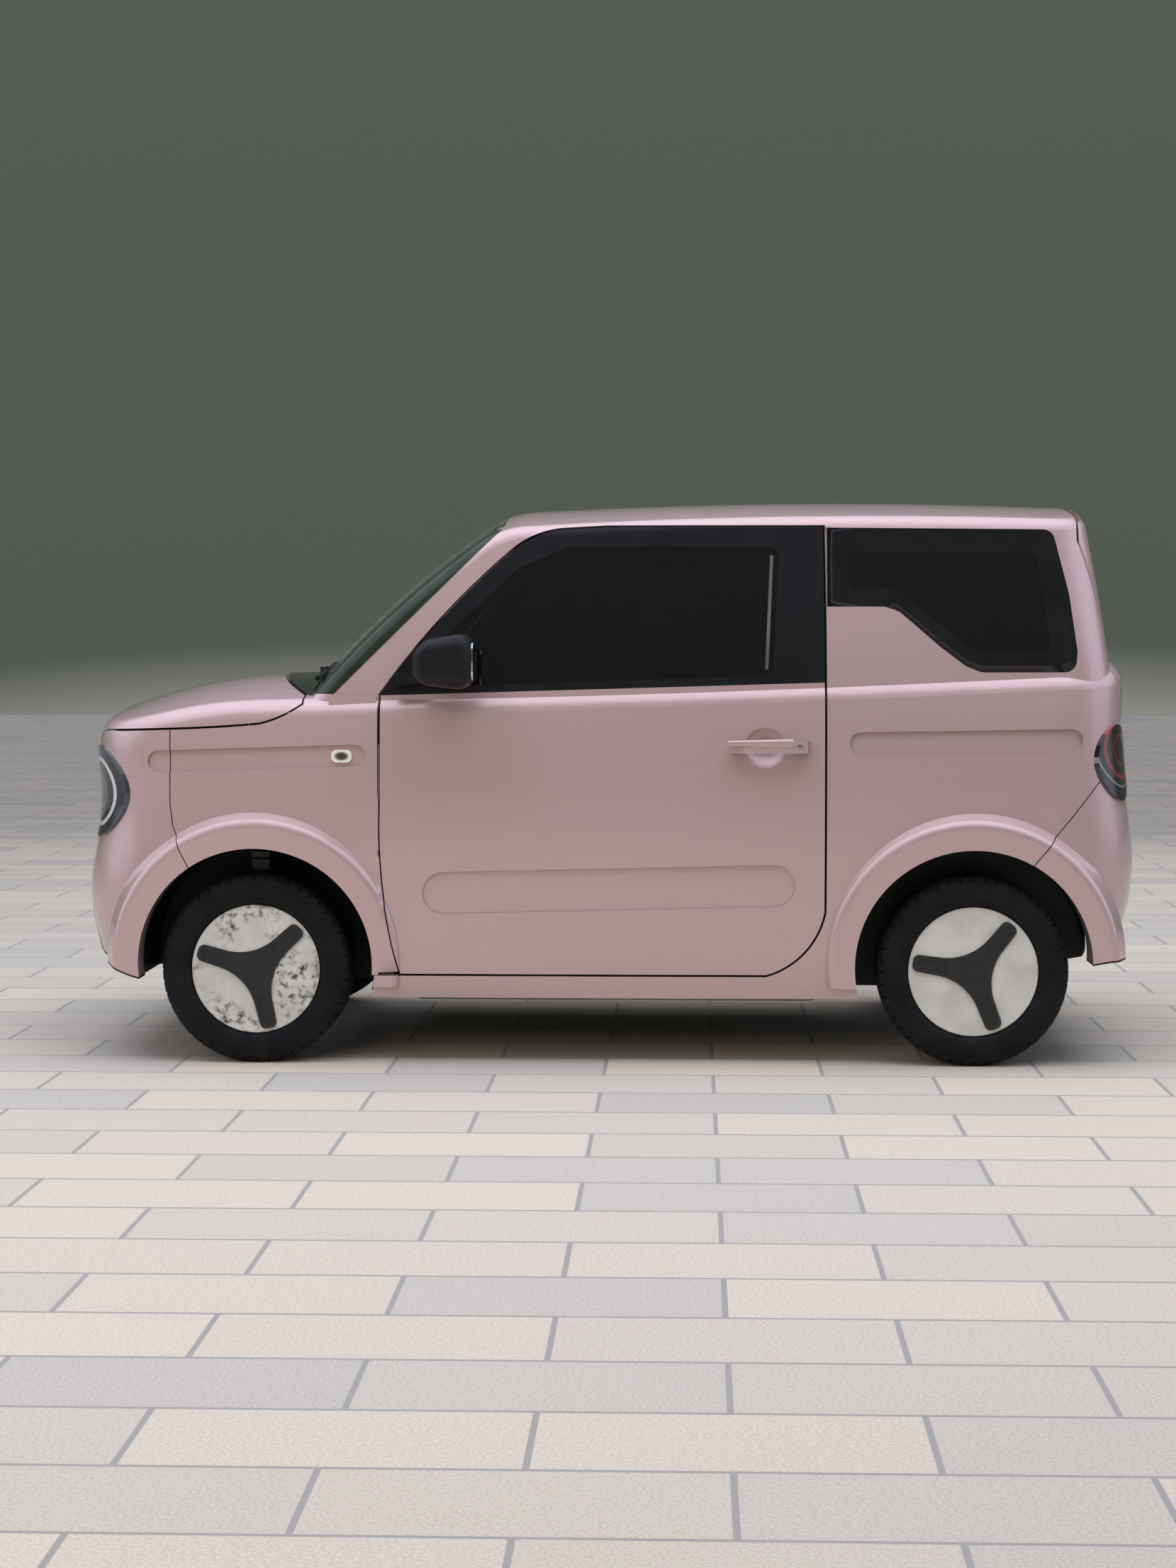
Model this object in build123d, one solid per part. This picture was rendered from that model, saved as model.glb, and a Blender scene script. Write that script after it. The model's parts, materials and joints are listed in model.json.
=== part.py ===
# Electric city car: a short two-door, four-seat hatchback with round lamps and bulging wheel arches.
# Millimetres. Origin on the ground under the middle of the car, +Z up, nose towards -X, left side towards -Y.
# The body is one lofted skin, hollowed, and cut into its panels along the shut lines.
import math
import os

from build123d import *

os.makedirs("parts", exist_ok=True)

# Overall and running gear
half_length = 1532.5
roof_height = 1600
wheelbase = 2015
front_axle_x = -988
rear_axle_x = front_axle_x + wheelbase
track = 1300
tyre_radius = 266
tyre_width = 165
bead_radius = 172
rim_flange_radius = 178
cover_radius = 181
cover_face_setback = 16      # wheel cover's face, inboard of the tyre's outer wall
trim_rise = 5                # three-arm trim on the cover, measured from the axle
arm_reach = 171
arm_tip_half = 23
arm_root_half = 29
arm_tip_round = 17
arm_valley_round = 150
slot_inner = 76
slot_inner_half = 16
slot_outer = 157
slot_outer_half = 12
slot_depth = 3
cap_radius = 31
hub_bore_radius = 27
brake_radius = 112

# Walls and gaps
skin = 25                    # bonnet, wings and bumpers
side_wall = 60               # doors, quarter panels and sills, outer face to trim
pillar_wall = 42             # roof, pillars and window frames
shut_gap = 6.2
seam = 0.3                   # between pieces that are fixed together
glass_setback = 2
glass_thickness = 5
door_glass_setback = 12
lamp_stand_out = 7
groove_depth = 7
glass_lap = 32
cowl_gap = 12
lamp_y, lamp_z, lamp_half_y, lamp_half_z = 548, 759, 118, 132
tail_lamp_y, tail_lamp_z, tail_lamp_half_y, tail_lamp_half_z = 600, 847, 72, 108

# Floor and structure
sill_inner = 640
floor_top = 236
floor_thickness = 20
house_side = 400
bulkhead_top_z = 960
rear_step_x = 662
boot_half = 520
boot_floor_z = 430
boot_end_x = 1380
nose_rail_x = -1400
rail_z = 330
rail_height = 70
battery_front_x, battery_rear_x = -560, 600
battery_half = 470
battery_bottom_z = 150
lining_bottom_z = 205

# Axles
kingpin_y = 590
steer_limit = 33
pivot_radius = 12
pivot_clearance = 0.08
arm_z = 126
spindle_radius = 24
bore_radius = 24.08
spindle_reach = 35
hub_radius = 52
axle_tube_radius = 36
drum_radius = 100
drive_half = 190

# Cabin
seat_inner, seat_outer = 80, 560
driver_y = 320
wheel_hub_x, wheel_hub_z = -300, 880
column_angle = 25
handle_z, handle_height = 895, 34

half_track = track / 2

# Wheel arches and their bulges
arch_radius = 331
arch_rise = 12               # arch centre above the wheel centre
bulge_rise = 60              # bulge centre above the arch centre
bulge_radius = 405
bulge_flat_radius = 380
bulge_reach = 758            # outer face of the bulge at the top of the arch
bulge_lean = 4.0             # degrees the bulge leans out towards its top
front_house_inner = 412      # inner wall of the front wheel house, from the middle
rear_house_inner = 540
liner = 5

# Shut lines, seen from the side
door_front_x = -634
door_rear_x = 611
quarter_front_x = 618.5
door_bottom_z = 254
door_top_z = 1509
waist_front_z = 1037
waist_rear_z = 1073
hinge_from_edge = 72         # door hinge line behind the door's front edge
hinge_y = 716                # door hinge line, inboard of the skin
hinge_heights = (470, 780)
hinge_strap_reach = 80       # a strap runs this far inboard of its pin, then forward to the pillar
hinge_strap_half = 6
bumper_seam_x = -1230
firewall_x = -790
bonnet_hinge_x = -818
bonnet_hinge_z = 1040
bonnet_hinge_y = 450
bonnet_corner_x = -858
tailgate_hinge_x = 1290
tailgate_hinge_z = 1554
tailgate_hinge_y = 240
roof_edge_z = 1586.6         # top of the roof's rear edge
hinge_eye_radius = 10
hinge_pin_radius = 5
sill_top_z = 250.5
cowl_radius = 1575           # plan curve of the bonnet's rear edge
cowl_front_x = -975
tailgate_front_x = 1330
tailgate_half_low = 512
tailgate_half_high = 562
tailgate_bottom_z = 604
roof_half = 516

crown_low = 3300             # radius of the crown across bonnet and shoulders
crown_roof = 2900
shoulder_round = 60
roof_round = 46
bonnet_rear_z = 1093

wheel_z = tyre_radius
door_hinge_x = door_front_x + hinge_from_edge
door_sweep = door_rear_x - door_hinge_x


def outline(z, nose, tail, front, middle, rear, round_front, round_rear, bow, inset):
    """One level of the body seen from above: four shallow arcs with rounded corners."""
    nose, tail = nose + inset, tail - inset
    front, middle, rear = front - inset, middle - inset, rear - inset
    with BuildSketch(Plane.XY.offset(z)) as level:
        with BuildLine():
            ThreePointArc((nose + bow, -front), (nose, 0), (nose + bow, front))
            ThreePointArc((nose + bow, front), (0, middle), (tail - bow, rear))
            ThreePointArc((tail - bow, rear), (tail, 0), (tail - bow, -rear))
            ThreePointArc((tail - bow, -rear), (0, -middle), (nose + bow, -front))
        make_face()
        fillet(level.vertices().filter_by(lambda v: v.X < 0), max(round_front - inset, 12))
        fillet(level.vertices().filter_by(lambda v: v.X > 1100 and abs(v.Y) > rear - 5), max(round_rear - inset, 12))
    return level.sketch


# z, nose x, tail x, half width front, middle, rear, corner radius front, rear
lower_levels = [
    (185, -1456, 1410, 676, 700, 668, 250, 220),
    (260, -1493, 1450, 700, 716, 688, 270, 230),
    (400, -1527, 1508, 710, 728, 701, 290, 240),
    (530, -1528, 1530, 712, 733, 706, 290, 240),
    (650, -1503, 1524, 709, 735, 705, 280, 235),
    (800, -1497, 1504, 704, 733, 702, 270, 230),
    (950, -1488, 1497, 696, 724, 694, 260, 225),
    (1200, -1462, 1484, 674, 702, 674, 250, 220),
]
cabin_levels = [
    (960, -1500, 1474, 655, 704, 664, 150, 130),
    (1090, -1500, 1458, 650, 698, 655, 150, 130),
    (1310, -1500, 1427, 618, 665, 620, 150, 125),
    (1640, -1500, 1366, 556, 604, 560, 150, 115),
]


def crowned(profile, radius, top_z, spread=34):
    """Turns a side profile about a long axis below it, so that it is crowned from side to side."""
    axis = Axis((0, 0, top_z - radius), (1, 0, 0))
    return revolve(profile.rotate(axis, -spread / 2), axis, spread)


def rounded_rim(solid, radius, above, steep):
    """Rounds the edges where the top faces meet the walls."""
    tops = [f for f in solid.faces() if f.normal_at(f.center()).Z > steep]
    rim = []
    for edge in solid.edges():
        shared = sum(1 for f in tops for e in f.edges() if e.is_same(edge))
        if shared == 1 and edge.center().Z > above:
            rim.append(edge)
    return solid.fillet(radius, rim)


def lower_form(inset=0.0):
    """Nose to tail below the windows, bonnet included, closed at the top."""
    walls = loft([outline(*level, 62, inset) for level in lower_levels])
    with BuildSketch(Plane.XZ) as side:
        with BuildLine():
            bonnet = ThreePointArc(
                (-1600, 927 - inset), (-1300, 1045 - inset), (-950, bonnet_rear_z - inset))
            deck = Line(bonnet @ 1, (1600, 1172 - inset))
            Polyline(deck @ 1, (1600, 0), (-1600, 0), bonnet @ 0)
        make_face()
    body = (walls & crowned(side.sketch.face(), crown_low, bonnet_rear_z)).solid()
    return rounded_rim(body, max(shoulder_round - inset, 14), 600, 0.6)


def arch_bulge(x, hand, inset):
    """A domed disc that leans out of the body side over a wheel."""
    lean = math.tan(math.radians(bulge_lean))
    face_y = bulge_reach - (arch_radius - bulge_rise) * lean - inset
    with BuildSketch(Plane.XY) as half:
        with BuildLine():
            Polyline((0, 300), (0, face_y), (bulge_flat_radius, face_y))
            edge = ThreePointArc(
                (bulge_flat_radius, face_y),
                ((bulge_flat_radius + bulge_radius) / 2 + 2, face_y - 3),
                (bulge_radius, face_y - 12))
            Polyline(edge @ 1, (bulge_radius + 26, face_y - 70), (bulge_radius + 26, 300), (0, 300))
        make_face()
    disc = revolve(half.sketch.face(), Axis.Y, 360)
    disc = Rot(X=-bulge_lean) * disc
    disc = disc & Pos(0, 0, 450 - 2 * bulge_rise) * Box(1200, 2000, 900)
    disc = Pos(x, 0, wheel_z + arch_rise + bulge_rise) * disc
    return mirror(disc, Plane.XZ) if hand < 0 else disc


def cabin_form(inset=0.0):
    """Windscreen, roof, sides and tail above the waist."""
    walls = loft([outline(*level, 46, inset) for level in cabin_levels])
    screen_base = (-1010 + 1.36 * inset, 900)
    with BuildSketch(Plane.XZ) as side:
        with BuildLine():
            screen = ThreePointArc(
                screen_base, (-640 + inset, 1314 - 0.4 * inset), (-300 + 0.6 * inset, 1573 - inset))
            roof = ThreePointArc(
                screen @ 1, (450, roof_height - inset), (1500, 1578 - inset))
            Polyline(roof @ 1, (1500, 800), (screen_base[0], 800), screen_base)
        make_face()
        fillet(side.vertices().sort_by_distance(screen @ 1)[0], 260)
    body = (walls & crowned(side.sketch.face(), crown_roof, roof_height, 40)).solid()
    return rounded_rim(body, max(roof_round - inset, 8), 965, 0.3)


def side_prism(face, y_low=-1000.0, y_high=1000.0):
    """Stretches an outline drawn in X and Z sideways, from y_low to y_high."""
    return Pos(0, y_high, 0) * extrude(face, y_high - y_low, dir=(0, -1, 0))


def loop(points, rounds=()):
    """Draws a closed outline through corner points; rounds lists (corner index, radius)."""
    radii = dict(rounds)
    corners = [Vector(*p) for p in points]
    stops = []
    for i, corner in enumerate(corners):
        before, after = corners[i - 1] - corner, corners[(i + 1) % len(corners)] - corner
        if i in radii:
            half = math.radians(before.get_angle(after)) / 2
            run = radii[i] / math.tan(half)
            middle = (before.normalized() + after.normalized()).normalized()
            crest = corner + middle * (radii[i] / math.sin(half) - radii[i])
            stops.append((corner + before.normalized() * run, crest, corner + after.normalized() * run))
        else:
            stops.append((corner, None, corner))
    for i, (start, crest, end) in enumerate(stops):
        if crest is not None:
            ThreePointArc(start, crest, end)
        Line(end, stops[(i + 1) % len(stops)][0])


def side_face(points, rounds=()):
    """An outline seen from the side, from (x, z) corners."""
    with BuildSketch(Plane.XZ) as drawn:
        with BuildLine():
            loop(points, rounds)
        make_face()
    return drawn.sketch


def rear_face(points, rounds=(), x=0.0):
    """An outline across the car, from (y, z) corners."""
    with BuildSketch(Plane.YZ.offset(x)) as drawn:
        with BuildLine():
            loop(points, rounds)
        make_face()
    return drawn.sketch


def symmetric(points):
    """Adds the mirrored other half to (y, z) points that run up the positive side."""
    return points + [(-y, z) for y, z in reversed(points)]


def block(x0, x1, y0, y1, z0, z1):
    """A plain box between two corners."""
    return Pos((x0 + x1) / 2, (y0 + y1) / 2, (z0 + z1) / 2) * Box(x1 - x0, y1 - y0, z1 - z0)


def rod(x, z, radius, y0, y1):
    """A round bar along Y."""
    return Pos(x, (y0 + y1) / 2, z) * Rot(X=90) * Cylinder(radius, y1 - y0)


def post(x, y, radius, z0, z1):
    """A round bar along Z."""
    return Pos(x, y, (z0 + z1) / 2) * Cylinder(radius, z1 - z0)


nodes = {}
import time
t0 = time.time()


def stage(text):
    print(text, round(time.time() - t0, 1), flush=True)


def less(shape, *tools):
    """Cuts every tool away in one go."""
    return shape - list(tools)


def biggest(shape):
    """The largest solid of a cut, dropping slivers."""
    return max(shape.solids(), key=lambda s: s.volume)


def whole_width(half):
    """Joins a left half to its mirror image."""
    return (Part() + half) + mirror(Part() + half, Plane.XZ)


def both(shape):
    """The piece and its mirror image, apart."""
    return Compound(children=list(shape.solids()) + list(mirror(shape, Plane.XZ).solids()))


def keep(name, shape):
    """Files a node, checking that it holds only solids."""
    nodes[name] = Compound(children=[s.fix() for s in shape.solids()])


def plate(points, z0, z1, x=0.0, y=0.0):
    """A level plate between two heights, from (x, y) corners about a point."""
    with BuildSketch(Plane.XY.offset(z0)) as drawn:
        with BuildLine():
            Polyline(*[(x + px, y + py) for px, py in points], close=True)
        make_face()
    return extrude(drawn.sketch, z1 - z0, dir=(0, 0, 1))


def other_side(shape):
    return mirror(shape, Plane.XZ)


# Forms at each depth below the skin, left half only
whole = 4000
left_half = block(-whole, whole, -whole, 0, -whole, whole)
lower_skin = lower_form() & left_half
for axle in (front_axle_x, rear_axle_x):
    lower_skin = lower_skin + arch_bulge(axle, -1, 0)
groove_floor = lower_form(groove_depth) & left_half
lower_inner = lower_form(skin) & left_half
lower_trim = lower_form(side_wall) & left_half
lamp_outer = lower_form(-lamp_stand_out) & left_half
cabin_skin = cabin_form() & left_half
glass_outer = cabin_form(glass_setback) & left_half
glass_inner = cabin_form(glass_setback + glass_thickness) & left_half
rebate_form = cabin_form(glass_setback + glass_thickness + seam) & left_half
cabin_trim = cabin_form(pillar_wall) & left_half
stage("forms")

glass_layer = glass_outer - glass_inner
arches = rod(front_axle_x, wheel_z + arch_rise, arch_radius, -900, -front_house_inner) + rod(
    rear_axle_x, wheel_z + arch_rise, arch_radius, -900, -rear_house_inner)
house_radius = arch_radius + liner + 2
houses = rod(front_axle_x, wheel_z + arch_rise, house_radius, -900, -front_house_inner + liner + 1) + rod(
    rear_axle_x, wheel_z + arch_rise, house_radius, -900, -rear_house_inner + liner + 1)
front_house = rod(front_axle_x, wheel_z + arch_rise, house_radius, -900, -front_house_inner)
front_zone = block(-900, -500, -900, -500, 0, 1200)
nose_under = side_prism(side_face([
    (-1700, 100), (-1700, 316), (-1450, 296), (-1310, 236), (-1120, 236), (-1120, 100)], [(2, 120), (3, 250)]))
tail_under = side_prism(side_face([
    (1700, 100), (1700, 312), (1410, 301), (1310, 283), (1200, 283), (1200, 100)], [(2, 90), (3, 150)]))


def door_outline(grow=0.0):
    low, high = door_bottom_z - grow, door_top_z + grow
    front = door_front_x - grow
    with BuildSketch(Plane.XZ) as drawn:
        with BuildLine():
            foot = Line((450, low), (-579 - grow, low))
            sweep = ThreePointArc(foot @ 1, (-618 - grow, 440), (front, 720))
            edge = Line(sweep @ 1, (front, waist_front_z + 4))
            pillar = ThreePointArc(
                edge @ 1, (-447 - 0.75 * grow, 1268 + 0.7 * grow), (-268 - 0.6 * grow, 1441 + 0.8 * grow))
            brow = ThreePointArc(pillar @ 1, (-206 - 0.35 * grow, 1481 + 0.9 * grow), (-110, 1503 + grow))
            top = Polyline(brow @ 1, (0, high), (700, high), (700, 470), (door_rear_x + grow + 4, 470))
            ThreePointArc(top @ 1, (553 + 0.7 * grow, 318 - 0.7 * grow), (450, low))
        make_face()
    return drawn.sketch


def hinge_sweep(grow):
    return Pos(door_hinge_x, -hinge_y, 900) * Cylinder(door_sweep + grow, 1800)


door_region = side_prism(door_outline(), -900, -480) & hinge_sweep(0)
door_cut = side_prism(door_outline(shut_gap), -900, -480) & hinge_sweep(shut_gap)


def bonnet_outline(drop=0.0):
    with BuildSketch(Plane.XZ) as drawn:
        with BuildLine():
            line = Line((-1700, 928 - drop), (-1235, 946 - drop))
            line = ThreePointArc(line @ 1, (-1090, 952 - drop), (-975, 961 - drop))
            line = ThreePointArc(line @ 1, (-920, 979 - drop), (-871, 1005 - drop))
            Polyline(line @ 1, (-790, 1058 - drop), (-790, 1300), (-1700, 1300), (-1700, 928 - drop))
        make_face()
    return drawn.sketch


def cowl_disc(grow):
    return Pos(cowl_front_x + cowl_radius, 0, 1000) * Cylinder(cowl_radius + grow, 800)


def bonnet_space(drop, cowl_grow, corner_x):
    """Room for the bonnet; its rear corners end at corner_x, ahead of the hinge line, so that they clear as they rise."""
    return side_prism(bonnet_outline(drop)) - cowl_disc(cowl_grow) - block(corner_x, 0, -whole, whole, 900, 1300)


bonnet_region = bonnet_space(0, cowl_gap, bonnet_corner_x)
bonnet_cut = bonnet_space(shut_gap, 0, bonnet_corner_x + shut_gap)
bonnet_near = bonnet_space(shut_gap + 0.5, cowl_gap - shut_gap - 0.5, bonnet_corner_x + shut_gap + 0.5)

nose_shell = less(lower_skin & block(-whole, -560, -whole, 0, 0, whole), lower_inner, arches, nose_under, cabin_skin)
stage("nose shell")
bonnet = nose_shell & bonnet_region
stage("bonnet")

# Nose bumper ahead of the seam, with openings for lamps and the lower grille
seam_points = [(-1700, 0), (-1169, 0), (-1169, 547), (-1197, 602), (-1222, 669), (bumper_seam_x, 730),
               (bumper_seam_x, 1000), (-1700, 1000)]


def oval_bar(y, z, half_y, half_z, x0, x1, grow=0.0):
    with BuildSketch(Plane.YZ.offset(x0)) as drawn:
        with Locations((y, z)):
            Ellipse(half_y + grow, half_z + grow)
    return extrude(drawn.sketch, x1 - x0, dir=(1, 0, 0))


def across(points, x0, x1, grow=0.0):
    """A bar along X whose section, drawn as half-width and height going up, is the same both sides."""
    section = rear_face(symmetric(points), x=x0)
    if grow:
        section = offset(section, grow, kind=Kind.INTERSECTION)
    return extrude(section, x1 - x0, dir=(1, 0, 0))


def groove(x0, z0, x1, z1, height):
    """A round-ended channel along the body side, following the line between two end centres."""
    length = math.hypot(x1 - x0, z1 - z0)
    angle = math.degrees(math.atan2(z1 - z0, x1 - x0))
    with BuildSketch(Plane.XZ) as drawn:
        with Locations(((x0 + x1) / 2, (z0 + z1) / 2)):
            SlotCenterToCenter(length, height, rotation=angle)
    return side_prism(drawn.sketch, -900, -500) - groove_floor


front_groove = groove(-1263, 851, -706, 869, 61)
rear_groove = groove(713, 903, 1298, 912, 65)

lamp_hole = oval_bar(-lamp_y, lamp_z, lamp_half_y, lamp_half_z, -1700, -1250, seam)
grille_points = [(640, 190), (600, 258), (540, 300), (518, 360), (508, 420), (480, 455), (200, 468)]
bumper = nose_shell & side_prism(side_face(seam_points))
bumper = less(bumper, bonnet_cut, lamp_hole, across(grille_points, -1700, -1400, seam), front_groove)
keep("front_bumper", whole_width(bumper))
lens = (lamp_outer - lower_trim) & oval_bar(-lamp_y, lamp_z, lamp_half_y, lamp_half_z, -1700, -1250)
keep("headlamps", both(lens))
grille = nose_shell & across(grille_points, -1700, -1400)
keep("front_grille", whole_width(grille))
stage("bumper")

# Front wings, and the cowl between them under the windscreen
wing = nose_shell & block(bumper_seam_x - 100, -570, -900, -300, 0, 1060)
wing = less(
    wing, side_prism(offset(side_face(seam_points), 3, kind=Kind.INTERSECTION)), bonnet_cut, door_cut, front_groove,
    cowl_disc(2) & block(-1010, -500, -634, 0, 900, 1250), block(door_front_x - shut_gap, -400, -900, 0, 700, 1100),
    block(-700, -500, -900, 0, 0, sill_top_z + 2))
wing = biggest(wing)
wing_zone = side_prism(side_face([
    (-700, sill_top_z), (-500, sill_top_z), (-500, 700), (door_front_x + 20, 760), (door_front_x + 20, 1010),
    (-900, 1010), (-900, 500)]), -900, -500)
cowl = nose_shell & cowl_disc(0) & block(-1010, -640, -632, 0, 950, 1200)
keep("cowl", whole_width(biggest(cowl)))
stage("wing")

# Cabin sides: sill, pillars, roof rail and quarter in one
side_shell = (lower_skin & block(-657, whole, -whole, 0, 183, whole)) + (
    cabin_skin & block(-870, whole, -whole, 0, 1010, whole))
stage("side sum")
side_shell = less(side_shell, lower_trim, cabin_trim)
stage("side shell")
screen_points = [(606, 1036), (598, 1090), (546, 1480), (500, 1563)]
tail_low, tail_high = tailgate_half_low, tailgate_half_high
tailgate_points = [(tail_low - 40, 604), (tail_low, 650), (tail_low, 950), (tail_high, 1070), (tail_high, 1700)]
tail_glass_points = [(430, 1110), (512, 1150), (498, 1430), (452, 1480)]


def quarter_outline(grow=0.0, front=quarter_front_x):
    """Outline of the quarter glass; its front edge lies along the door gap."""
    points = [(front, 1508), (1252, 1503), (1296, 1323), (1318, 1160), (1312, 1102), (1049, 1102), (1004, 1120),
              (932, 1175), (870, 1229), (820, 1272), (780, 1286), (front, 1286)]
    face = side_face(points, [(1, 34), (4, 34), (5, 50), (9, 40)])
    return offset(face, grow, kind=Kind.INTERSECTION) if grow else face


def door_glass_outline(grow=0.0):
    points = [(482, 1452), (466, 1094), (-480, 1062), (-522, 1130), (-250, 1393), (-110, 1452)]
    face = side_face(points, [(0, 26), (1, 26), (3, 26), (4, 120)])
    return offset(face, grow, kind=Kind.INTERSECTION) if grow else face


def glazed(panel, hole, opening):
    """Cuts a glass seat into a panel: a shallow step to the glass outline and a smaller hole through."""
    return less(panel, hole - rebate_form, opening)


roof = (cabin_skin - cabin_trim) & block(-520, tailgate_front_x - shut_gap, -roof_half, 0, 1400, whole)
roof = glazed(roof, across(screen_points, -1200, -296, seam), across(screen_points, -1200, -325, -glass_lap))
# Tailgate hinges: goosenecks in pockets under the roof's rear edge
pocket_top = tailgate_hinge_z + hinge_eye_radius + 2
hinge_pocket = block(tailgate_hinge_x - 20, tailgate_front_x, -tailgate_hinge_y - 14, -tailgate_hinge_y + 14, 1400, pocket_top)
roof = biggest(roof) - hinge_pocket
roof = roof + rod(tailgate_hinge_x, tailgate_hinge_z, hinge_pin_radius, -tailgate_hinge_y - 15, -tailgate_hinge_y + 15)
keep("roof", whole_width(roof))
screen = glass_layer & across(screen_points, -1200, -296 - seam)
keep("windscreen", whole_width(biggest(screen)))
stage("roof, screen")

lower_half = block(-whole, whole, -whole, 0, 0, 1000)
rear_seam = [(1100, 0), (1100, 457), (1189, 564), (1385, 799), (1700, 799), (1700, 0)]
tail_lamp_hole = oval_bar(-tail_lamp_y, tail_lamp_z, tail_lamp_half_y, tail_lamp_half_z, 1250, 1700, seam)
tailgate_cut = across(tailgate_points, tailgate_front_x - shut_gap, 1700, shut_gap)
side_panel = less(
    side_shell, door_cut, tailgate_cut, tail_lamp_hole, arches, rear_groove, front_house, wing_zone & front_zone, bonnet_near,
    side_prism(offset(side_face(rear_seam), 3, kind=Kind.INTERSECTION)),
    block(-600, tailgate_front_x + 200, -roof_half - seam, 0, 1400, whole),
    across(screen_points, -1200, -296, seam) - rebate_form, across(screen_points, -1200, -325, -glass_lap),
    side_prism(quarter_outline(seam, door_rear_x - 20), -900, -400) - rebate_form,
    side_prism(quarter_outline(-glass_lap), -900, -400))
side_panel = biggest(side_panel)
stage("side panel glazed")
pillar = side_prism(side_face([
    (-652, 200), (-596, 200), (-603, 345), (-642, 640), (-646, 720), (-646, 1035), (-780, 1035), (-780, 530)]),
    -700, -652) - houses - door_cut
# Bonnet hinges: goosenecks on pins held in the foot of the screen frame
notch_y = (-bonnet_hinge_y - 15, -bonnet_hinge_y + 15)
screen_notch = block(bonnet_hinge_x - 95, bonnet_hinge_x + 24, *notch_y, 960, bonnet_hinge_z - 6)
screen_notch = screen_notch + block(bonnet_hinge_x - 95, bonnet_hinge_x, *notch_y, 960, bonnet_hinge_z + 14)
screen_notch = screen_notch + rod(bonnet_hinge_x, bonnet_hinge_z, hinge_eye_radius + 5, *notch_y)
ears = block(bonnet_hinge_x - 26, bonnet_hinge_x + 9, -bonnet_hinge_y - 25, -bonnet_hinge_y + 25, bonnet_hinge_z - 14, bonnet_hinge_z + 9)
# Door hinges: straps from the pillar, round the door's inner front corner, to pins in the door
reach, half = hinge_strap_reach, hinge_strap_half
strap_plan = [(half, 0), (half, reach + half), (-100, reach + half), (-100, reach - half), (-half, reach - half), (-half, 0)]
straps = []
for z in hinge_heights:
    straps += [plate(strap_plan, z - half, z + half, door_hinge_x, -hinge_y),
               post(door_hinge_x, -hinge_y, half + 2, z - half, z + half),
               post(door_hinge_x, -hinge_y, hinge_pin_radius, z - 24, z + 24),
               block(door_hinge_x - 115, door_hinge_x - 88, -hinge_y + 52, -hinge_y + reach + half, z - 20, z + 20)]
side_panel = (side_panel + pillar + ears) - screen_notch + straps
side_panel = side_panel + rod(bonnet_hinge_x, bonnet_hinge_z, hinge_pin_radius, -bonnet_hinge_y - 16, -bonnet_hinge_y + 16)
floor_plate = block(firewall_x, rear_step_x, -sill_inner, 0, floor_top - floor_thickness, floor_top)
side_panel = less(biggest(side_panel), wing, floor_plate)
keep("body_side_left", biggest(side_panel))
keep("body_side_right", other_side(nodes["body_side_left"]))
# The wing's rear edge is hollowed about the door's hinge line, for the door's front corner as it swings
wing_relief = post(door_hinge_x, -hinge_y, hinge_from_edge + 8, sill_top_z, waist_front_z)
keep("front_wing_left", less(wing, pillar, wing_relief))
keep("front_wing_right", other_side(nodes["front_wing_left"]))
neck_drop, neck_run = 88, 122
eye = rod(bonnet_hinge_x, bonnet_hinge_z, hinge_eye_radius, -bonnet_hinge_y - 8, -bonnet_hinge_y + 8)
goose = side_prism(side_face([
    (bonnet_hinge_x + 7, bonnet_hinge_z), (bonnet_hinge_x + 7, bonnet_hinge_z - neck_drop - 7),
    (bonnet_hinge_x - neck_run - 7, bonnet_hinge_z - neck_drop - 7), (bonnet_hinge_x - neck_run - 7, bonnet_hinge_z + 8),
    (bonnet_hinge_x - neck_run + 7, bonnet_hinge_z + 8), (bonnet_hinge_x - neck_run + 7, bonnet_hinge_z - neck_drop + 7),
    (bonnet_hinge_x - 7, bonnet_hinge_z - neck_drop + 7), (bonnet_hinge_x - 7, bonnet_hinge_z)],
    [(1, 30), (2, 30), (5, 16), (6, 16)]), -bonnet_hinge_y - 5, -bonnet_hinge_y + 5)
goose = goose + eye
goose = goose - rod(bonnet_hinge_x, bonnet_hinge_z, hinge_pin_radius + pivot_clearance, -900, 0)
keep("bonnet", whole_width(bonnet + goose))
quarter_glass = glass_layer & side_prism(quarter_outline(), -900, -400)
keep("quarter_glass", both(quarter_glass))
stage("sides")

# Doors
door_shell = side_shell & door_region
waist = side_prism(side_face([
    (-900, waist_front_z - 8), (900, waist_rear_z + 9), (900, 0), (-900, 0)]), -900, 0)
door = door_shell & waist
frame = door_shell - side_prism(offset(side_face([
    (-900, waist_front_z - 8), (900, waist_rear_z + 9), (900, 0), (-900, 0)]), seam, kind=Kind.INTERSECTION), -900, 0)
frame = glazed(
    frame, side_prism(door_glass_outline(seam), -900, -400), side_prism(door_glass_outline(-20), -900, -400))
frame = frame - block(-900, 900, -roof_half - shut_gap, 0, 1300, whole)
door_glass = glass_layer & side_prism(door_glass_outline(), -900, -400)
stage("door")
pocket = groove(-456, 484, 471, 506, 118)
hinge_pocket_plan = [(14, -9.5), (-14, -9.5), (-90, 15), (-90, 200), (14, 200)]
hinge_room = []
for z in hinge_heights:
    hinge_room += [plate(hinge_pocket_plan, z - 2 * half, z + 2 * half, door_hinge_x, -hinge_y),
                   post(door_hinge_x, -hinge_y, hinge_pin_radius + pivot_clearance, z - 25, z + 25)]
door = less(door, pocket, *hinge_room)
keep("door_left", biggest(door))
keep("door_right", other_side(biggest(door)))
keep("window_frame_left", biggest(frame))
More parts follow.
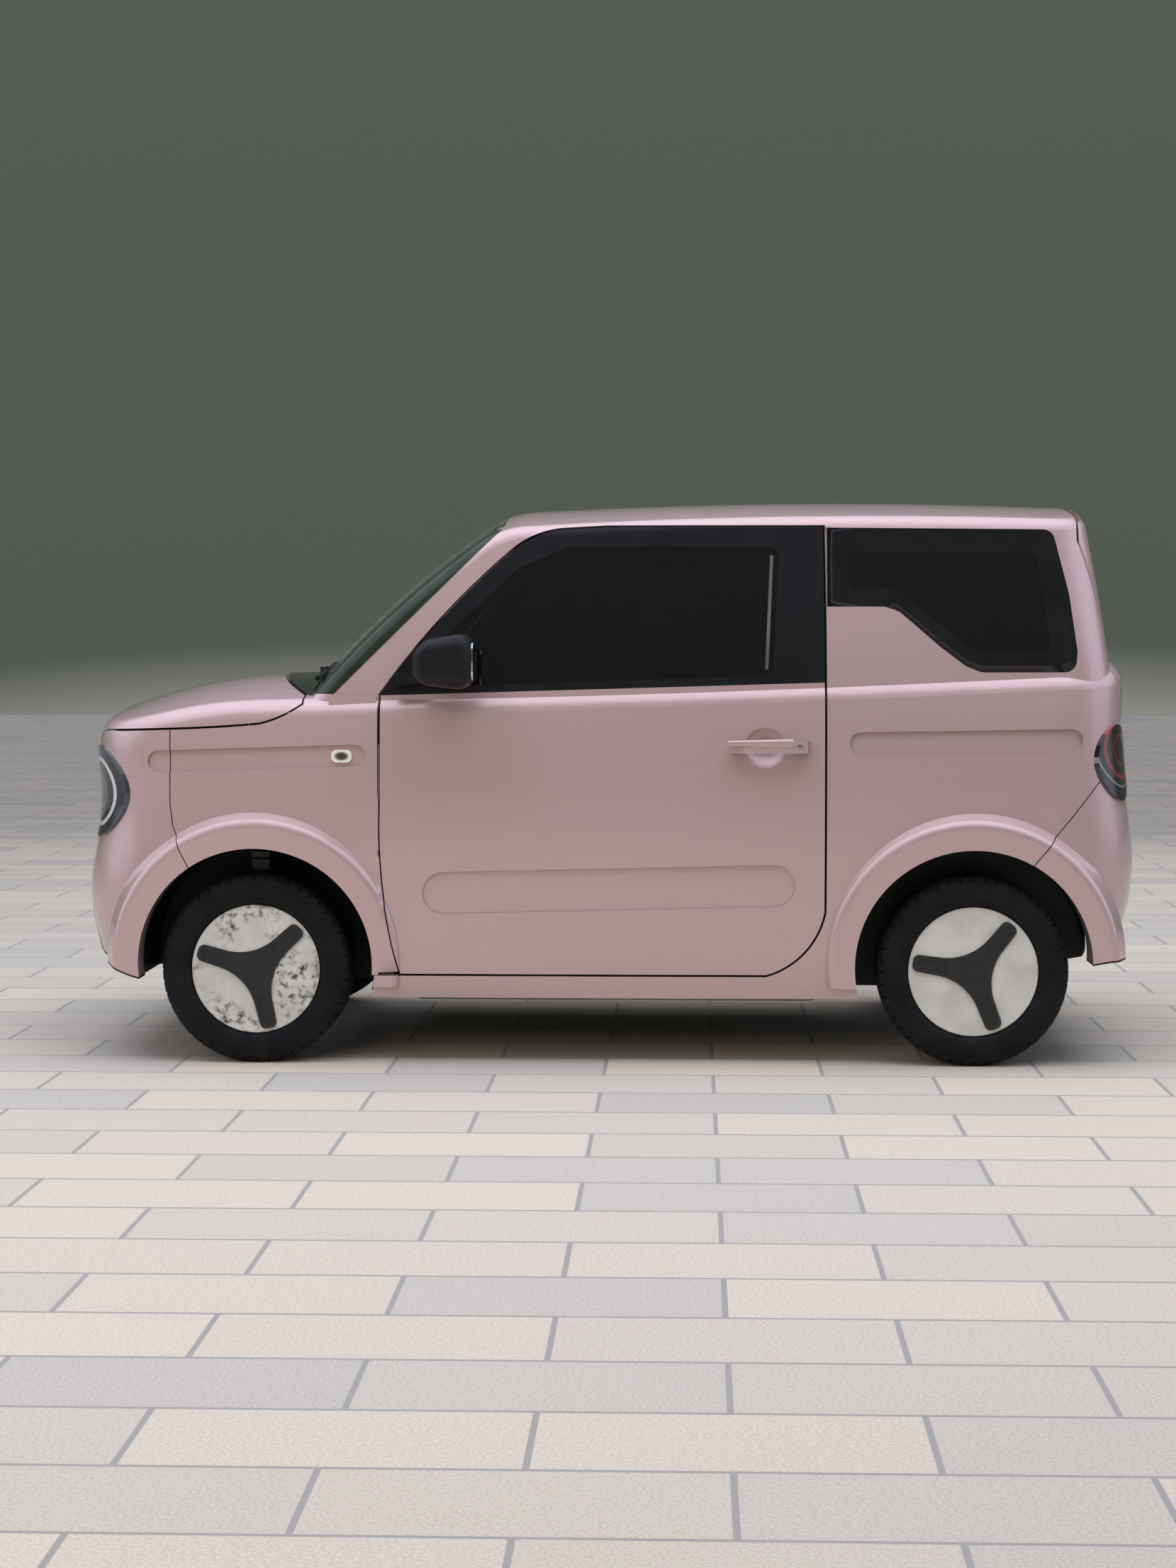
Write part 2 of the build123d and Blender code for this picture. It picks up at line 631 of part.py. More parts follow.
keep("window_frame_right", other_side(biggest(frame)))
keep("door_glass_left", door_glass)
keep("door_glass_right", other_side(door_glass))
stage("doors")

# Tail
tail_shell = less(lower_skin & block(1000, whole, -whole, 0, 0, 1000), lower_inner, arches, tail_under)
valance_points = [(600, 250), (540, 310), (505, 380), (492, 450), (462, 500), (200, 522)]
rear_bumper = tail_shell & side_prism(side_face(rear_seam))
rear_bumper = less(rear_bumper, tailgate_cut, tail_lamp_hole, across(valance_points, 1400, 1700, seam))
keep("rear_bumper", whole_width(biggest(rear_bumper)))
keep("rear_valance", whole_width(tail_shell & across(valance_points, 1400, 1700)))
tail_lens = (lamp_outer - lower_trim) & oval_bar(
    -tail_lamp_y, tail_lamp_z, tail_lamp_half_y, tail_lamp_half_z, 1250, 1700)
keep("tail_lamps", both(tail_lens))
tailgate_region = across(tailgate_points, tailgate_front_x, 1700)
tailgate = side_shell & tailgate_region
tailgate = glazed(
    tailgate, across(tail_glass_points, 1300, 1700, seam), across(tail_glass_points, 1300, 1700, -glass_lap))
# The front edge is cut back to a round about the hinge line, so that it clears the roof as it rises
roof_corner = math.hypot(tailgate_front_x - shut_gap - tailgate_hinge_x, roof_edge_z - tailgate_hinge_z)
tailgate = tailgate - rod(tailgate_hinge_x, tailgate_hinge_z, roof_corner + 5, -900, 0)
eye = rod(tailgate_hinge_x, tailgate_hinge_z, hinge_eye_radius - 1, -tailgate_hinge_y - 8, -tailgate_hinge_y + 8)
goose = side_prism(side_face([
    (tailgate_hinge_x - 6, tailgate_hinge_z), (tailgate_hinge_x - 6, tailgate_hinge_z - 56),
    (tailgate_hinge_x + 68, tailgate_hinge_z - 56), (tailgate_hinge_x + 68, tailgate_hinge_z),
    (tailgate_hinge_x + 54, tailgate_hinge_z), (tailgate_hinge_x + 54, tailgate_hinge_z - 44),
    (tailgate_hinge_x + 6, tailgate_hinge_z - 44), (tailgate_hinge_x + 6, tailgate_hinge_z)],
    [(1, 16), (2, 16), (5, 8), (6, 8)]), -tailgate_hinge_y - 5, -tailgate_hinge_y + 5)
goose = (goose - rod(tailgate_hinge_x, tailgate_hinge_z, hinge_pin_radius + pivot_clearance, -900, 0)) + (
    eye - rod(tailgate_hinge_x, tailgate_hinge_z, hinge_pin_radius + pivot_clearance, -900, 0))
keep("tailgate", whole_width(biggest(biggest(tailgate) + goose)))
tail_glass = glass_layer & across(tail_glass_points, 1335, 1700)
keep("tailgate_glass", whole_width(biggest(tail_glass)))
stage("tail")

# Floor, bulkhead, battery
bulkhead = block(firewall_x, firewall_x + floor_thickness, -house_side, 0, floor_top, bulkhead_top_z)
kick_up = block(rear_step_x, rear_step_x + floor_thickness, -boot_half, 0, floor_top - floor_thickness, boot_floor_z)
boot_floor = block(
    rear_step_x + floor_thickness, boot_end_x, -boot_half, 0, boot_floor_z - floor_thickness, boot_floor_z)
rails = block(nose_rail_x, firewall_x, -380, -330, rail_z, rail_z + rail_height)
tail_rails = block(rear_step_x + floor_thickness, boot_end_x, -450, -400,
                   boot_floor_z - floor_thickness - rail_height, boot_floor_z - floor_thickness)
nose_beam = block(nose_rail_x - 45, nose_rail_x, -480, 0, rail_z - 15, rail_z + rail_height + 15)
tail_beam = block(boot_end_x, boot_end_x + 30, -boot_half, 0, boot_floor_z - rail_height, boot_floor_z)
floor = Part() + [floor_plate, bulkhead, kick_up, boot_floor, rails, tail_rails, nose_beam, tail_beam]
floor = floor - houses
keep("floor", whole_width(floor))

battery = block(battery_front_x, battery_rear_x, -battery_half, battery_half, battery_bottom_z,
                floor_top - floor_thickness)
keep("battery_pack", fillet(battery.edges().filter_by(Axis.Z), 45))


def house_lining(x, inner_y, trim):
    """Half-round black lining of a wheel arch, closed on its inboard side."""
    z = wheel_z + arch_rise
    hoop = rod(x, z, arch_radius + 1 + liner, -900, liner - inner_y) - rod(x, z, arch_radius + 1, -900, -inner_y)
    hoop = hoop & block(x - 600, x + 600, -900, 0, lining_bottom_z, 900)
    return biggest(hoop & trim)


front_lining = house_lining(front_axle_x, front_house_inner, lower_inner) - nose_under
rear_lining = house_lining(rear_axle_x, rear_house_inner, lower_trim) - tail_under
rear_lining = rear_lining - rod(rear_axle_x, wheel_z, axle_tube_radius + 0.3, -900, 0)
keep("wheel_arch_linings", Compound(children=list(both(front_lining).solids()) + list(both(rear_lining).solids())))
stage("linings")

# Front suspension: cross member, lower arms and the upper pivot brackets
arm_plan = [(-22, -612), (22, -612), (80, -372), (80, -300), (-80, -300), (-80, -372)]


arm = plate(arm_plan, arm_z, arm_z + 16, front_axle_x)
arm = arm - post(front_axle_x, -kingpin_y, pivot_radius + pivot_clearance, 0, 400)
member = block(front_axle_x - 80, front_axle_x + 80, -300, 300, arm_z, rail_z) - block(
    front_axle_x - 55, front_axle_x + 55, -260, 260, 0, rail_z - 12)
upper_z = wheel_z + tyre_radius + 42
bracket = block(front_axle_x - 26, front_axle_x + 26, -kingpin_y - 26, -front_house_inner, upper_z, upper_z + 16)
bracket = bracket - post(front_axle_x, -kingpin_y, pivot_radius + pivot_clearance, 0, 900)
rack = rod(front_axle_x + 50, rail_z + 20, 24, -300, 300)
subframe = Part() + [member, arm, other_side(arm), rack]
keep("front_subframe", Compound(children=list(subframe.solids()) + list(both(bracket).solids())))

# Front knuckle, steering with the wheel
inner_face = half_track - tyre_width / 2
web_y = -(inner_face - 10)
upright = block(front_axle_x - 34, front_axle_x + 34, web_y - 38, web_y, arm_z + 20, wheel_z + 110)
neck = block(front_axle_x - 24, front_axle_x + 24, web_y, web_y + 24, wheel_z - 60, upper_z - 6)
over = block(front_axle_x - 24, front_axle_x + 24, -kingpin_y - 22, web_y, wheel_z + tyre_radius + 8, upper_z - 6)
pins = post(front_axle_x, -kingpin_y, pivot_radius, upper_z - 6, upper_z + 16) + post(
    front_axle_x, -kingpin_y, pivot_radius, arm_z, arm_z + 20)
spindle_end = -(half_track + spindle_reach)
spindle = rod(front_axle_x, wheel_z, spindle_radius, spindle_end, web_y)
shield = rod(front_axle_x, wheel_z, 70, web_y - 50, web_y - 38)
upright = block(front_axle_x - 34, front_axle_x + 34, -kingpin_y - 20, web_y, arm_z + 20, wheel_z + 110)
knuckle = Part() + [upright, neck, over, pins, spindle, shield]
keep("knuckle_left", knuckle)
keep("knuckle_right", other_side(knuckle))

# Rear axle and its drive unit
tube = rod(rear_axle_x, wheel_z, axle_tube_radius, -inner_face + 6, -drive_half)
drum = rod(rear_axle_x, wheel_z, drum_radius, -inner_face - 30, -inner_face + 6)
stub = rod(rear_axle_x, wheel_z, spindle_radius, spindle_end, -inner_face - 30)
trailing = block(rear_step_x + floor_thickness, rear_axle_x - axle_tube_radius + 8, -500, -462, wheel_z - 24, wheel_z + 24)
coil = post(rear_axle_x, -425, 45, wheel_z + axle_tube_radius - 4, boot_floor_z - floor_thickness - rail_height)
axle_side = Part() + [tube, drum, stub, trailing, coil]
drive = fillet(block(rear_axle_x - 150, rear_axle_x + 130, -drive_half, drive_half, wheel_z - 95, wheel_z + 95).edges(), 30)
keep("rear_axle", both(axle_side))
keep("drive_unit", drive)
stage("running gear")


# Wheels and tyres, made at the front left and copied
def turned(points, x, y):
    """Revolves a section of (distance inboard, radius) points about a wheel's axle."""
    with BuildSketch(Plane.YZ) as drawn:
        with BuildLine():
            Polyline(*points, close=True)
        make_face()
    ring = revolve(drawn.sketch, Axis.Y, 360)
    return Pos(x, y, wheel_z) * ring


half_width = tyre_width / 2
tyre_section = [(-half_width + 24, bead_radius), (-half_width + 22, cover_radius + 1.5),
                (-half_width + 5, cover_radius + 16), (-half_width, 222), (-half_width + 9, 250),
                (-half_width + 24, tyre_radius), (half_width - 24, tyre_radius), (half_width - 9, 250),
                (half_width, 222), (half_width - 24, bead_radius)]
tyre = turned(tyre_section, 0, -half_track)

rim_half = half_width - 10
face_y = -half_width + cover_face_setback
barrel_radius = bead_radius - 0.3
rim_section = [(face_y, 0), (face_y, cover_radius - 2), (face_y + 1.5, cover_radius), (face_y + 4, cover_radius),
               (face_y + 5.5, barrel_radius), (rim_half, barrel_radius), (rim_half, barrel_radius - 10),
               (face_y + 20, barrel_radius - 10), (face_y + 20, hub_radius), (face_y + 56, hub_radius),
               (face_y + 56, bore_radius), (face_y + 12, bore_radius), (face_y + 12, 0)]
rim = turned(rim_section, 0, -half_track)


# Three-arm trim on the wheel cover: waisted arms with a slot in each and a round cap
def on_cover(points, rounds, rise, fall):
    """A plate on the wheel cover from (along, up) corners about the axle, rise outwards and fall inwards."""
    cover_y = -half_track + face_y
    return Pos(0, cover_y - rise, wheel_z) * extrude(side_face(points, rounds), rise + fall, dir=(0, 1, 0))


def from_axle(angle, along, across_arm):
    """A point on the cover at a distance along and across an arm that stands at angle."""
    turn = math.radians(angle)
    return (along * math.cos(turn) - across_arm * math.sin(turn), along * math.sin(turn) + across_arm * math.cos(turn))


valley = arm_root_half / (math.sin(math.radians(60)) + 0.5 * (arm_root_half - arm_tip_half) / arm_reach)
trim_points, trim_rounds = [], []
for k in range(3):
    trim_points += [from_axle(120 * k, arm_reach, -arm_tip_half), from_axle(120 * k, arm_reach, arm_tip_half),
                    from_axle(120 * k + 60, valley, 0)]
    trim_rounds += [(3 * k, arm_tip_round), (3 * k + 1, arm_tip_round), (3 * k + 2, arm_valley_round)]
trim = on_cover(trim_points, trim_rounds, trim_rise, 1)
slots = [on_cover([from_axle(120 * k, slot_inner, -slot_inner_half), from_axle(120 * k, slot_outer, -slot_outer_half),
                   from_axle(120 * k, slot_outer, slot_outer_half), from_axle(120 * k, slot_inner, slot_inner_half)],
                  [(1, 8), (2, 8)], trim_rise + 1, slot_depth - trim_rise) for k in range(3)]
cap_groove = Pos(0, -half_track + face_y - trim_rise, wheel_z) * Rot(X=90) * (
    Cylinder(cap_radius + 2, 2) - Cylinder(cap_radius, 2))
trimmed_rim = rim + less(trim, *slots, cap_groove)
for wheel_name, x, side, turn in (("front_left", front_axle_x, -1, 43), ("front_right", front_axle_x, 1, 17),
                                  ("rear_left", rear_axle_x, -1, 51), ("rear_right", rear_axle_x, 1, 80)):
    spun = Pos(x, 0, wheel_z) * Rot(Y=-turn) * Pos(0, 0, -wheel_z)
    one_tyre, one_rim = Pos(x, 0, 0) * tyre, spun * trimmed_rim
    keep("tyre_" + wheel_name, one_tyre if side < 0 else other_side(one_tyre))
    keep("wheel_" + wheel_name, one_rim if side < 0 else other_side(one_rim))
stage("wheels")

# Seats, dashboard and steering wheel
seat_side = side_face([
    (-150, 330), (-150, 430), (300, 450), (330, 470), (405, 1010), (500, 1000), (450, 420), (380, 330)],
    [(1, 40), (4, 40), (5, 40)])
seat = side_prism(seat_side, -seat_outer, -seat_inner)
headrest = side_prism(side_face([(405, 1040), (420, 1180), (500, 1170), (500, 1030)], [(1, 30), (2, 30), (0, 25)]),
                      -(seat_outer + seat_inner) / 2 - 125, -(seat_outer + seat_inner) / 2 + 125)
stems = Part() + [Pos(452, -(seat_outer + seat_inner) / 2 + dy, 1020) * Cylinder(7, 60) for dy in (-60, 60)]
seat_base = block(-120, 370, -seat_outer + 40, -seat_inner - 40, floor_top, 330)
keep("front_seats", both(Part() + [seat, headrest, stems, seat_base]))

bench = side_prism(side_face([
    (560, 430), (560, 545), (940, 520), (1010, 980), (1100, 970), (1060, 430)], [(1, 45), (3, 40), (4, 30)]), -510, 510)
bench = bench & block(0, 2000, -510, 510, boot_floor_z, 1200)
bench_rests = Part() + [side_prism(side_face([
    (1020, 1000), (1032, 1095), (1095, 1088), (1095, 992)], [(1, 25), (2, 25)]), y - 110, y + 110) for y in (-260, 260)]
bench_stems = Part() + [Pos(1058, y + dy, 988) * Cylinder(7, 50) for y in (-260, 260) for dy in (-55, 55)]
keep("rear_seat", bench + bench_rests + bench_stems)

dash = side_face([(-770, 690), (-770, 985), (-560, 1010), (-470, 985), (-440, 900), (-470, 760), (-560, 690)],
                 [(2, 60), (3, 40), (4, 40), (5, 30)])
dash = side_prism(dash, -600, 600)
column_axis = Plane(origin=(wheel_hub_x, -driver_y, wheel_hub_z), z_dir=(math.cos(math.radians(column_angle)), 0,
                                                                     math.sin(math.radians(column_angle))))
column = column_axis * Pos(0, 0, -150) * Cylinder(32, 180)
bore = column_axis * Pos(0, 0, -120) * Cylinder(16.5, 120)
keep("dashboard", (dash + column) - bore)
rim_ring = column_axis * Torus(180, 15)
hub = column_axis * Pos(0, 0, -22) * Cylinder(52, 34)
spokes = Part() + [column_axis * Rot(Z=a) * Pos(105, 0, -16) * Box(150, 34, 14) for a in (0, 180, -90)]
shaft = column_axis * Pos(0, 0, -95) * Cylinder(16, 130)
keep("steering_wheel", Part() + [rim_ring, hub, spokes, shaft])
stage("cabin")

# Side repeaters and wipers
repeater_slot = groove(-757, 867, -727, 867, 36)

# Side repeaters in the front ends of the grooves
slot = side_prism(side_face([(-771, 849), (-771, 885), (-713, 885), (-713, 849)],
                            [(0, 16), (1, 16), (2, 16), (3, 16)]), -900, -500)
keep("side_repeaters", both((lower_skin & slot) - groove_floor))

# Wipers on the foot of the windscreen
full_screen = cabin_skin + mirror(cabin_skin, Plane.XZ)


def bar(a, b, radius):
    """A round bar between two points."""
    a, b = Vector(*a), Vector(*b)
    return Plane(origin=(a + b) * 0.5, z_dir=b - a) * Cylinder(radius, (b - a).length)


blades = [((-838, -500, 1082), (-845, -20, 1120)), ((-846, 40, 1120), (-840, 470, 1086))]
arms = [((-884, -10, 1102), (-842, -260, 1108)), ((-884, 480, 1070), (-843, 240, 1110))]
wipers = [bar(*blade, 7) + bar(*arm, 6) + post(arm[0][0], arm[0][1], 12, arm[0][2] - 14, arm[0][2] + 8)
          for blade, arm in zip(blades, arms)]
keep("wipers", Compound(children=[biggest(less(wiper, full_screen, nodes["cowl"])) for wiper in wipers]))

# Door handles and mirrors
handle_plan = Pos(0, 0, handle_z) * extrude(
    make_face(Polyline((346, -718), (352, -752), (392, -766), (520, -766), (562, -752), (566, -718), (530, -718),
                       (524, -746), (392, -746), (384, -718), close=True)), handle_height / 2, both=True)
handle = handle_plan
cup = Pos(445, -771, handle_z) * Sphere(73)
door_body = biggest(nodes["door_left"]) - cup + handle
keep("door_left", door_body)
keep("door_right", other_side(door_body))

mirror_head = block(-524, -362, -925, -712, 1058, 1208)
mirror_head = fillet(mirror_head.edges(), 40)
mirror_foot = block(-590, -500, -735, -680, 1066, 1100) & (lamp_outer + cabin_skin + block(-900, 0, -900, -690, 0, 2000))
frame_body = biggest(nodes["window_frame_left"]) + mirror_foot + mirror_head
keep("window_frame_left", frame_body)
keep("window_frame_right", other_side(frame_body))
nodes["door_glass_left"] = Compound(children=list((nodes["door_glass_left"] - mirror_foot).solids()))
nodes["door_glass_right"] = Compound(children=list(other_side(nodes["door_glass_left"]).solids()))
stage("trim")

for name, shape in nodes.items():
    export_step(shape, "parts/" + name + ".step")
stage("export")
for n, q in nodes.items():
    b = q.bounding_box()
    print(n, len(q.solids()), [round(v.volume / 1e6, 2) for v in q.solids()],
          [round(v) for v in (*b.min, *b.max)], q.is_valid)
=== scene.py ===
import json
import math

import bmesh
import bpy
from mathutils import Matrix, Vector


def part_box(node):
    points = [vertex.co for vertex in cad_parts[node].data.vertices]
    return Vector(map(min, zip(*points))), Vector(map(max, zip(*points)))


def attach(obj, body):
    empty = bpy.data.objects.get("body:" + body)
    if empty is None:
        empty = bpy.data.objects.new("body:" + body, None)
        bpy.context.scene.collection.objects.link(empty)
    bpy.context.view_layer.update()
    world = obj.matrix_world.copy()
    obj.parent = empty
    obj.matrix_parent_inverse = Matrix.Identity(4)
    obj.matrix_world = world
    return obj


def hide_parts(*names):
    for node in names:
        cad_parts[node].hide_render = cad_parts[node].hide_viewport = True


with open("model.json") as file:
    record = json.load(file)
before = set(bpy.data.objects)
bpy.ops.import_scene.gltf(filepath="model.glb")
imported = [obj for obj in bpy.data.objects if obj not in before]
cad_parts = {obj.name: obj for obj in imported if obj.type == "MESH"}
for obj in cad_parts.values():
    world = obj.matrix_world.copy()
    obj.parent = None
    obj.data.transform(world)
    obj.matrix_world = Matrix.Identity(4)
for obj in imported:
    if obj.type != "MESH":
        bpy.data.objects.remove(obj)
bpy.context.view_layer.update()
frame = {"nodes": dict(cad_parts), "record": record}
nodes = frame["nodes"]
bodyOf = {}
for bodyName, ridingNodes in frame["record"]["behaviour"]["bodies"].items():
    for nodeName in ridingNodes:
        bodyOf[nodeName] = bodyName
hands = ((-1, "left"), (1, "right"))  # side of the car along Y, and its name
print("frame loaded:", len(nodes), "nodes")

# Modelling helpers
modelling = {"weld": 0.00002, "smoothAngle": 35, "farOut": 2.0}  # farOut: where lines from a side start


def clearSelection():
    if bpy.context.object and bpy.context.object.mode != "OBJECT":
        bpy.ops.object.mode_set(mode="OBJECT")
    bpy.ops.object.select_all(action="DESELECT")


def makeActive(piece):
    clearSelection()
    piece.select_set(True)
    bpy.context.view_layer.objects.active = piece


def openEdit(piece, part, action="SELECT"):
    # edit mode on vertices, edges or faces, with all of them selected or none
    makeActive(piece)
    bpy.ops.object.mode_set(mode="EDIT")
    bpy.ops.mesh.select_mode(type=part)
    bpy.ops.mesh.select_all(action=action)


def closeEdit():
    bpy.ops.object.mode_set(mode="OBJECT")


def selectAll():
    bpy.ops.mesh.select_all(action="SELECT")


def selectFaces(piece, test):
    # picks faces by their middle and normal, and leaves the piece in edit mode
    openEdit(piece, "FACE", "DESELECT")
    mesh = bmesh.from_edit_mesh(piece.data)
    for face in mesh.faces:
        face.select_set(bool(test(face.calc_center_median(), face.normal)))
    bmesh.update_edit_mesh(piece.data)


def extrudeBy(shift):
    bpy.ops.mesh.extrude_region_move(TRANSFORM_OT_translate={"value": shift})


def applyPlace(piece):
    # the place goes into the mesh, and the object stays at the origin
    makeActive(piece)
    bpy.ops.object.transform_apply(location=True, rotation=True, scale=True)


def applyModifiers(piece):
    makeActive(piece)
    for modifier in list(piece.modifiers):
        bpy.ops.object.modifier_apply(modifier=modifier.name)


def linkPiece(name, data):
    piece = bpy.data.objects.new(name, data)
    bpy.context.collection.objects.link(piece)
    makeActive(piece)
    return piece


def copyNode(nodeName, pieceName):
    # a merged copy of a node's mesh, as a piece of its own
    piece = linkPiece(pieceName, nodes[nodeName].data.copy())
    openEdit(piece, "VERT")
    bpy.ops.mesh.remove_doubles(threshold=modelling["weld"])
    closeEdit()
    return piece


def placePrimitive(name, scale):
    # names and scales the primitive that was just added
    piece = bpy.context.object
    piece.name = name
    piece.scale = scale
    applyPlace(piece)
    return piece


def roundedBox(name, middle, size, lean, rounding, segments):
    bpy.ops.mesh.primitive_cube_add(size=1, location=middle, rotation=(0, math.radians(lean), 0))
    box = placePrimitive(name, size)
    openEdit(box, "FACE")
    bpy.ops.mesh.bevel(offset=rounding, segments=segments)
    closeEdit()
    return box


def finishPiece(piece, body, material, replaced=(), degrees=modelling["smoothAngle"]):
    applyPlace(piece)
    makeActive(piece)
    bpy.ops.object.shade_smooth_by_angle(angle=math.radians(degrees))
    piece.data.materials.clear()
    piece.data.materials.append(material)
    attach(piece, body)
    if replaced:
        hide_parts(*replaced)
    return piece


def lineMeets(nodeName, start, facing):
    # the first place where a line meets a node, or None
    hit, place = nodes[nodeName].ray_cast(Vector(start), Vector(facing))[:2]
    return place if hit else None


def sidePoint(nodeName, x, z, side):
    # where a line straight in from the side meets a node, or None
    return lineMeets(nodeName, (x, modelling["farOut"] * side, z), (0, -side, 0))


# Finishes: "mix" is where a pattern changes from the first colour to the second
paintLook = {"base": (0.560, 0.385, 0.390), "deep": (0.48, 0.325, 0.33), "flake": 1400.0, "mix": (0.36, 0.56),
             "metallic": 0.45, "roughness": 0.36, "coat": 1.0, "coatRoughness": 0.03, "wave": 4.0,
             "ripple": 0.02, "rippleHeight": 0.002}
tyreLook = {"base": (0.003, 0.003, 0.004), "dusty": (0.008, 0.0075, 0.008), "cloud": 14.0, "mix": (0.4, 0.72),
            "roughness": 0.7, "grain": 420.0, "bump": 0.3, "height": 0.0005, "specular": 0.28}
grainShared = {"cloud": 8.0, "mix": (0.35, 0.7), "height": 0.0004, "specular": 0.5}
grainLook = {"base": (0.0055, 0.0055, 0.0065), "pale": (0.009, 0.009, 0.010), "roughness": 0.45,
             "grain": 900.0, "bump": 0.25, "specular": 0.28}
glossLook = {"base": (0.006, 0.006, 0.007), "pale": (0.01, 0.01, 0.011), "roughness": 0.12, "grain": 60.0,
             "bump": 0.02}
chassisLook = {"base": (0.016, 0.016, 0.017), "pale": (0.04, 0.038, 0.036), "roughness": 0.6, "grain": 70.0,
               "bump": 0.3}
alloyLook = {"base": (0.25, 0.255, 0.26), "pale": (0.34, 0.345, 0.35), "roughness": 0.42, "grain": 160.0,
             "bump": 0.2}
cabinLook = {"base": (0.055, 0.05, 0.047), "pale": (0.075, 0.07, 0.065), "roughness": 0.6, "grain": 1100.0,
             "bump": 0.3}
channelLook = {"base": (0.06, 0.062, 0.066), "pale": (0.10, 0.102, 0.106), "roughness": 0.45, "grain": 500.0,
               "bump": 0.1}
edgeLook = {"base": (0.014, 0.018, 0.012), "pale": (0.022, 0.027, 0.017), "roughness": 0.06, "grain": 40.0,
            "bump": 0.01}
clothShared = {"cloud": 11.0, "mix": (0.3, 0.65), "skew": 0.3, "bump": 0.4, "height": 0.0006}
clothLook = {"base": (0.36, 0.30, 0.235), "dark": (0.25, 0.205, 0.16), "thread": 0.0022, "roughness": 0.9,
             "sheen": 0.35}
pipingLook = {"base": (0.10, 0.085, 0.07), "dark": (0.07, 0.06, 0.05), "thread": 0.0016, "roughness": 0.85,
              "sheen": 0.2}
metalShared = {"mix": (0.3, 0.7), "stretch": (1, 1, 12)}
steelLook = {"base": (0.46, 0.46, 0.45), "pale": (0.62, 0.62, 0.61), "roughness": 0.3, "brush": 900.0}
silverLook = {"base": (0.78, 0.80, 0.82), "pale": (0.86, 0.87, 0.88), "roughness": 0.03, "brush": 3.0}
glassShared = {"smear": 6.0, "mix": (0.3, 0.8), "lighter": 1.25, "roughness": 0.03, "coatRoughness": 0.02}
screenLook = {"base": (0.06, 0.075, 0.07), "alpha": 0.35}
doorGlassLook = {"base": (0.003, 0.0035, 0.0035), "alpha": 0.80}
tintedLook = {"base": (0.003, 0.003, 0.0035), "alpha": 0.88}
coverLook = {"base": (0.53, 0.515, 0.475), "shade": (0.44, 0.425, 0.39), "scuff": (0.035, 0.033, 0.035),
             "trim": (0.012, 0.012, 0.014), "trimPlane": 0.7168, "roughness": 0.36, "cloud": 13.0,
             "mix": (0.35, 0.6), "grain": 500.0, "bump": 0.06, "height": 0.0004}
frontScuff = {"spots": 46.0, "clusters": 8.0, "reach": (0.43, 0.56), "amount": (0.48, 0.62), "ragged": 0.7}
rearScuff = {"spots": 60.0, "clusters": 8.0, "reach": (0.60, 0.72), "amount": (0.60, 0.72), "ragged": 0.7}
lensShared = {"coat": 1.0, "coatRoughness": 0.02}
# rings of colour round the middle of a lens, from 0 there to 1 at its rim
headlampLook = {
    "across": "y", "centre": (0.548, 0.759), "radii": (0.118, 0.132), "roughness": 0.12,
    "rings": [(0.0, (0.012, 0.015, 0.02)), (0.30, (0.10, 0.11, 0.125)), (0.36, (0.006, 0.007, 0.009)),
              (0.66, (0.50, 0.52, 0.54)), (0.76, (0.012, 0.014, 0.018)), (0.95, (0.03, 0.034, 0.04))]}
tailLampLook = {
    "across": "y", "centre": (0.585, 0.885), "radii": (0.095, 0.112), "roughness": 0.1,
    "rings": [(0.0, (0.02, 0.003, 0.004)), (0.34, (0.12, 0.009, 0.009)), (0.42, (0.012, 0.003, 0.004)),
              (0.66, (0.22, 0.013, 0.013)), (0.76, (0.006, 0.004, 0.005)), (0.92, (0.20, 0.19, 0.19)),
              (0.97, (0.006, 0.006, 0.007))]}
repeaterLook = {
    "across": "x", "centre": (-0.742, 0.867), "radii": (0.031, 0.019), "roughness": 0.18,
    "rings": [(0.0, (0.05, 0.045, 0.035)), (0.42, (0.16, 0.155, 0.13)), (0.62, (0.60, 0.59, 0.52)),
              (0.9, (0.70, 0.70, 0.64))]}


def newMaterial(name):
    material = bpy.data.materials.new(name)
    material.use_nodes = True
    tree = material.node_tree
    shader = next(node for node in tree.nodes if node.type == "BSDF_PRINCIPLED")
    return material, tree, shader


def setSockets(node, values):
    for socketName, value in values.items():
        node.inputs[socketName].default_value = value


def objectPoint(tree, scale=(1, 1, 1)):
    coords = tree.nodes.new("ShaderNodeTexCoord")
    mapping = tree.nodes.new("ShaderNodeMapping")
    mapping.inputs["Scale"].default_value = scale
    tree.links.new(coords.outputs["Object"], mapping.inputs["Vector"])
    return mapping.outputs["Vector"]


def noiseFactor(tree, point, scale, detail, rough=0.55):
    noise = tree.nodes.new("ShaderNodeTexNoise")
    setSockets(noise, {"Scale": scale, "Detail": detail, "Roughness": rough})
    tree.links.new(point, noise.inputs["Vector"])
    return noise.outputs["Fac"]


def ramp(tree, factor, stops, crisp=False):
    node = tree.nodes.new("ShaderNodeValToRGB")
    node.color_ramp.interpolation = "CONSTANT" if crisp else "LINEAR"
    elements = node.color_ramp.elements
    elements.remove(elements[1])
    elements[0].position, elements[0].color = stops[0][0], (*stops[0][1], 1)
    for place, colour in stops[1:]:
        elements.new(place).color = (*colour, 1)
    tree.links.new(factor, node.inputs["Fac"])
    return node.outputs["Color"]


def twoTones(tree, factor, mix, first=(0, 0, 0), second=(1, 1, 1)):
    return ramp(tree, factor, [(mix[0], first), (mix[1], second)])


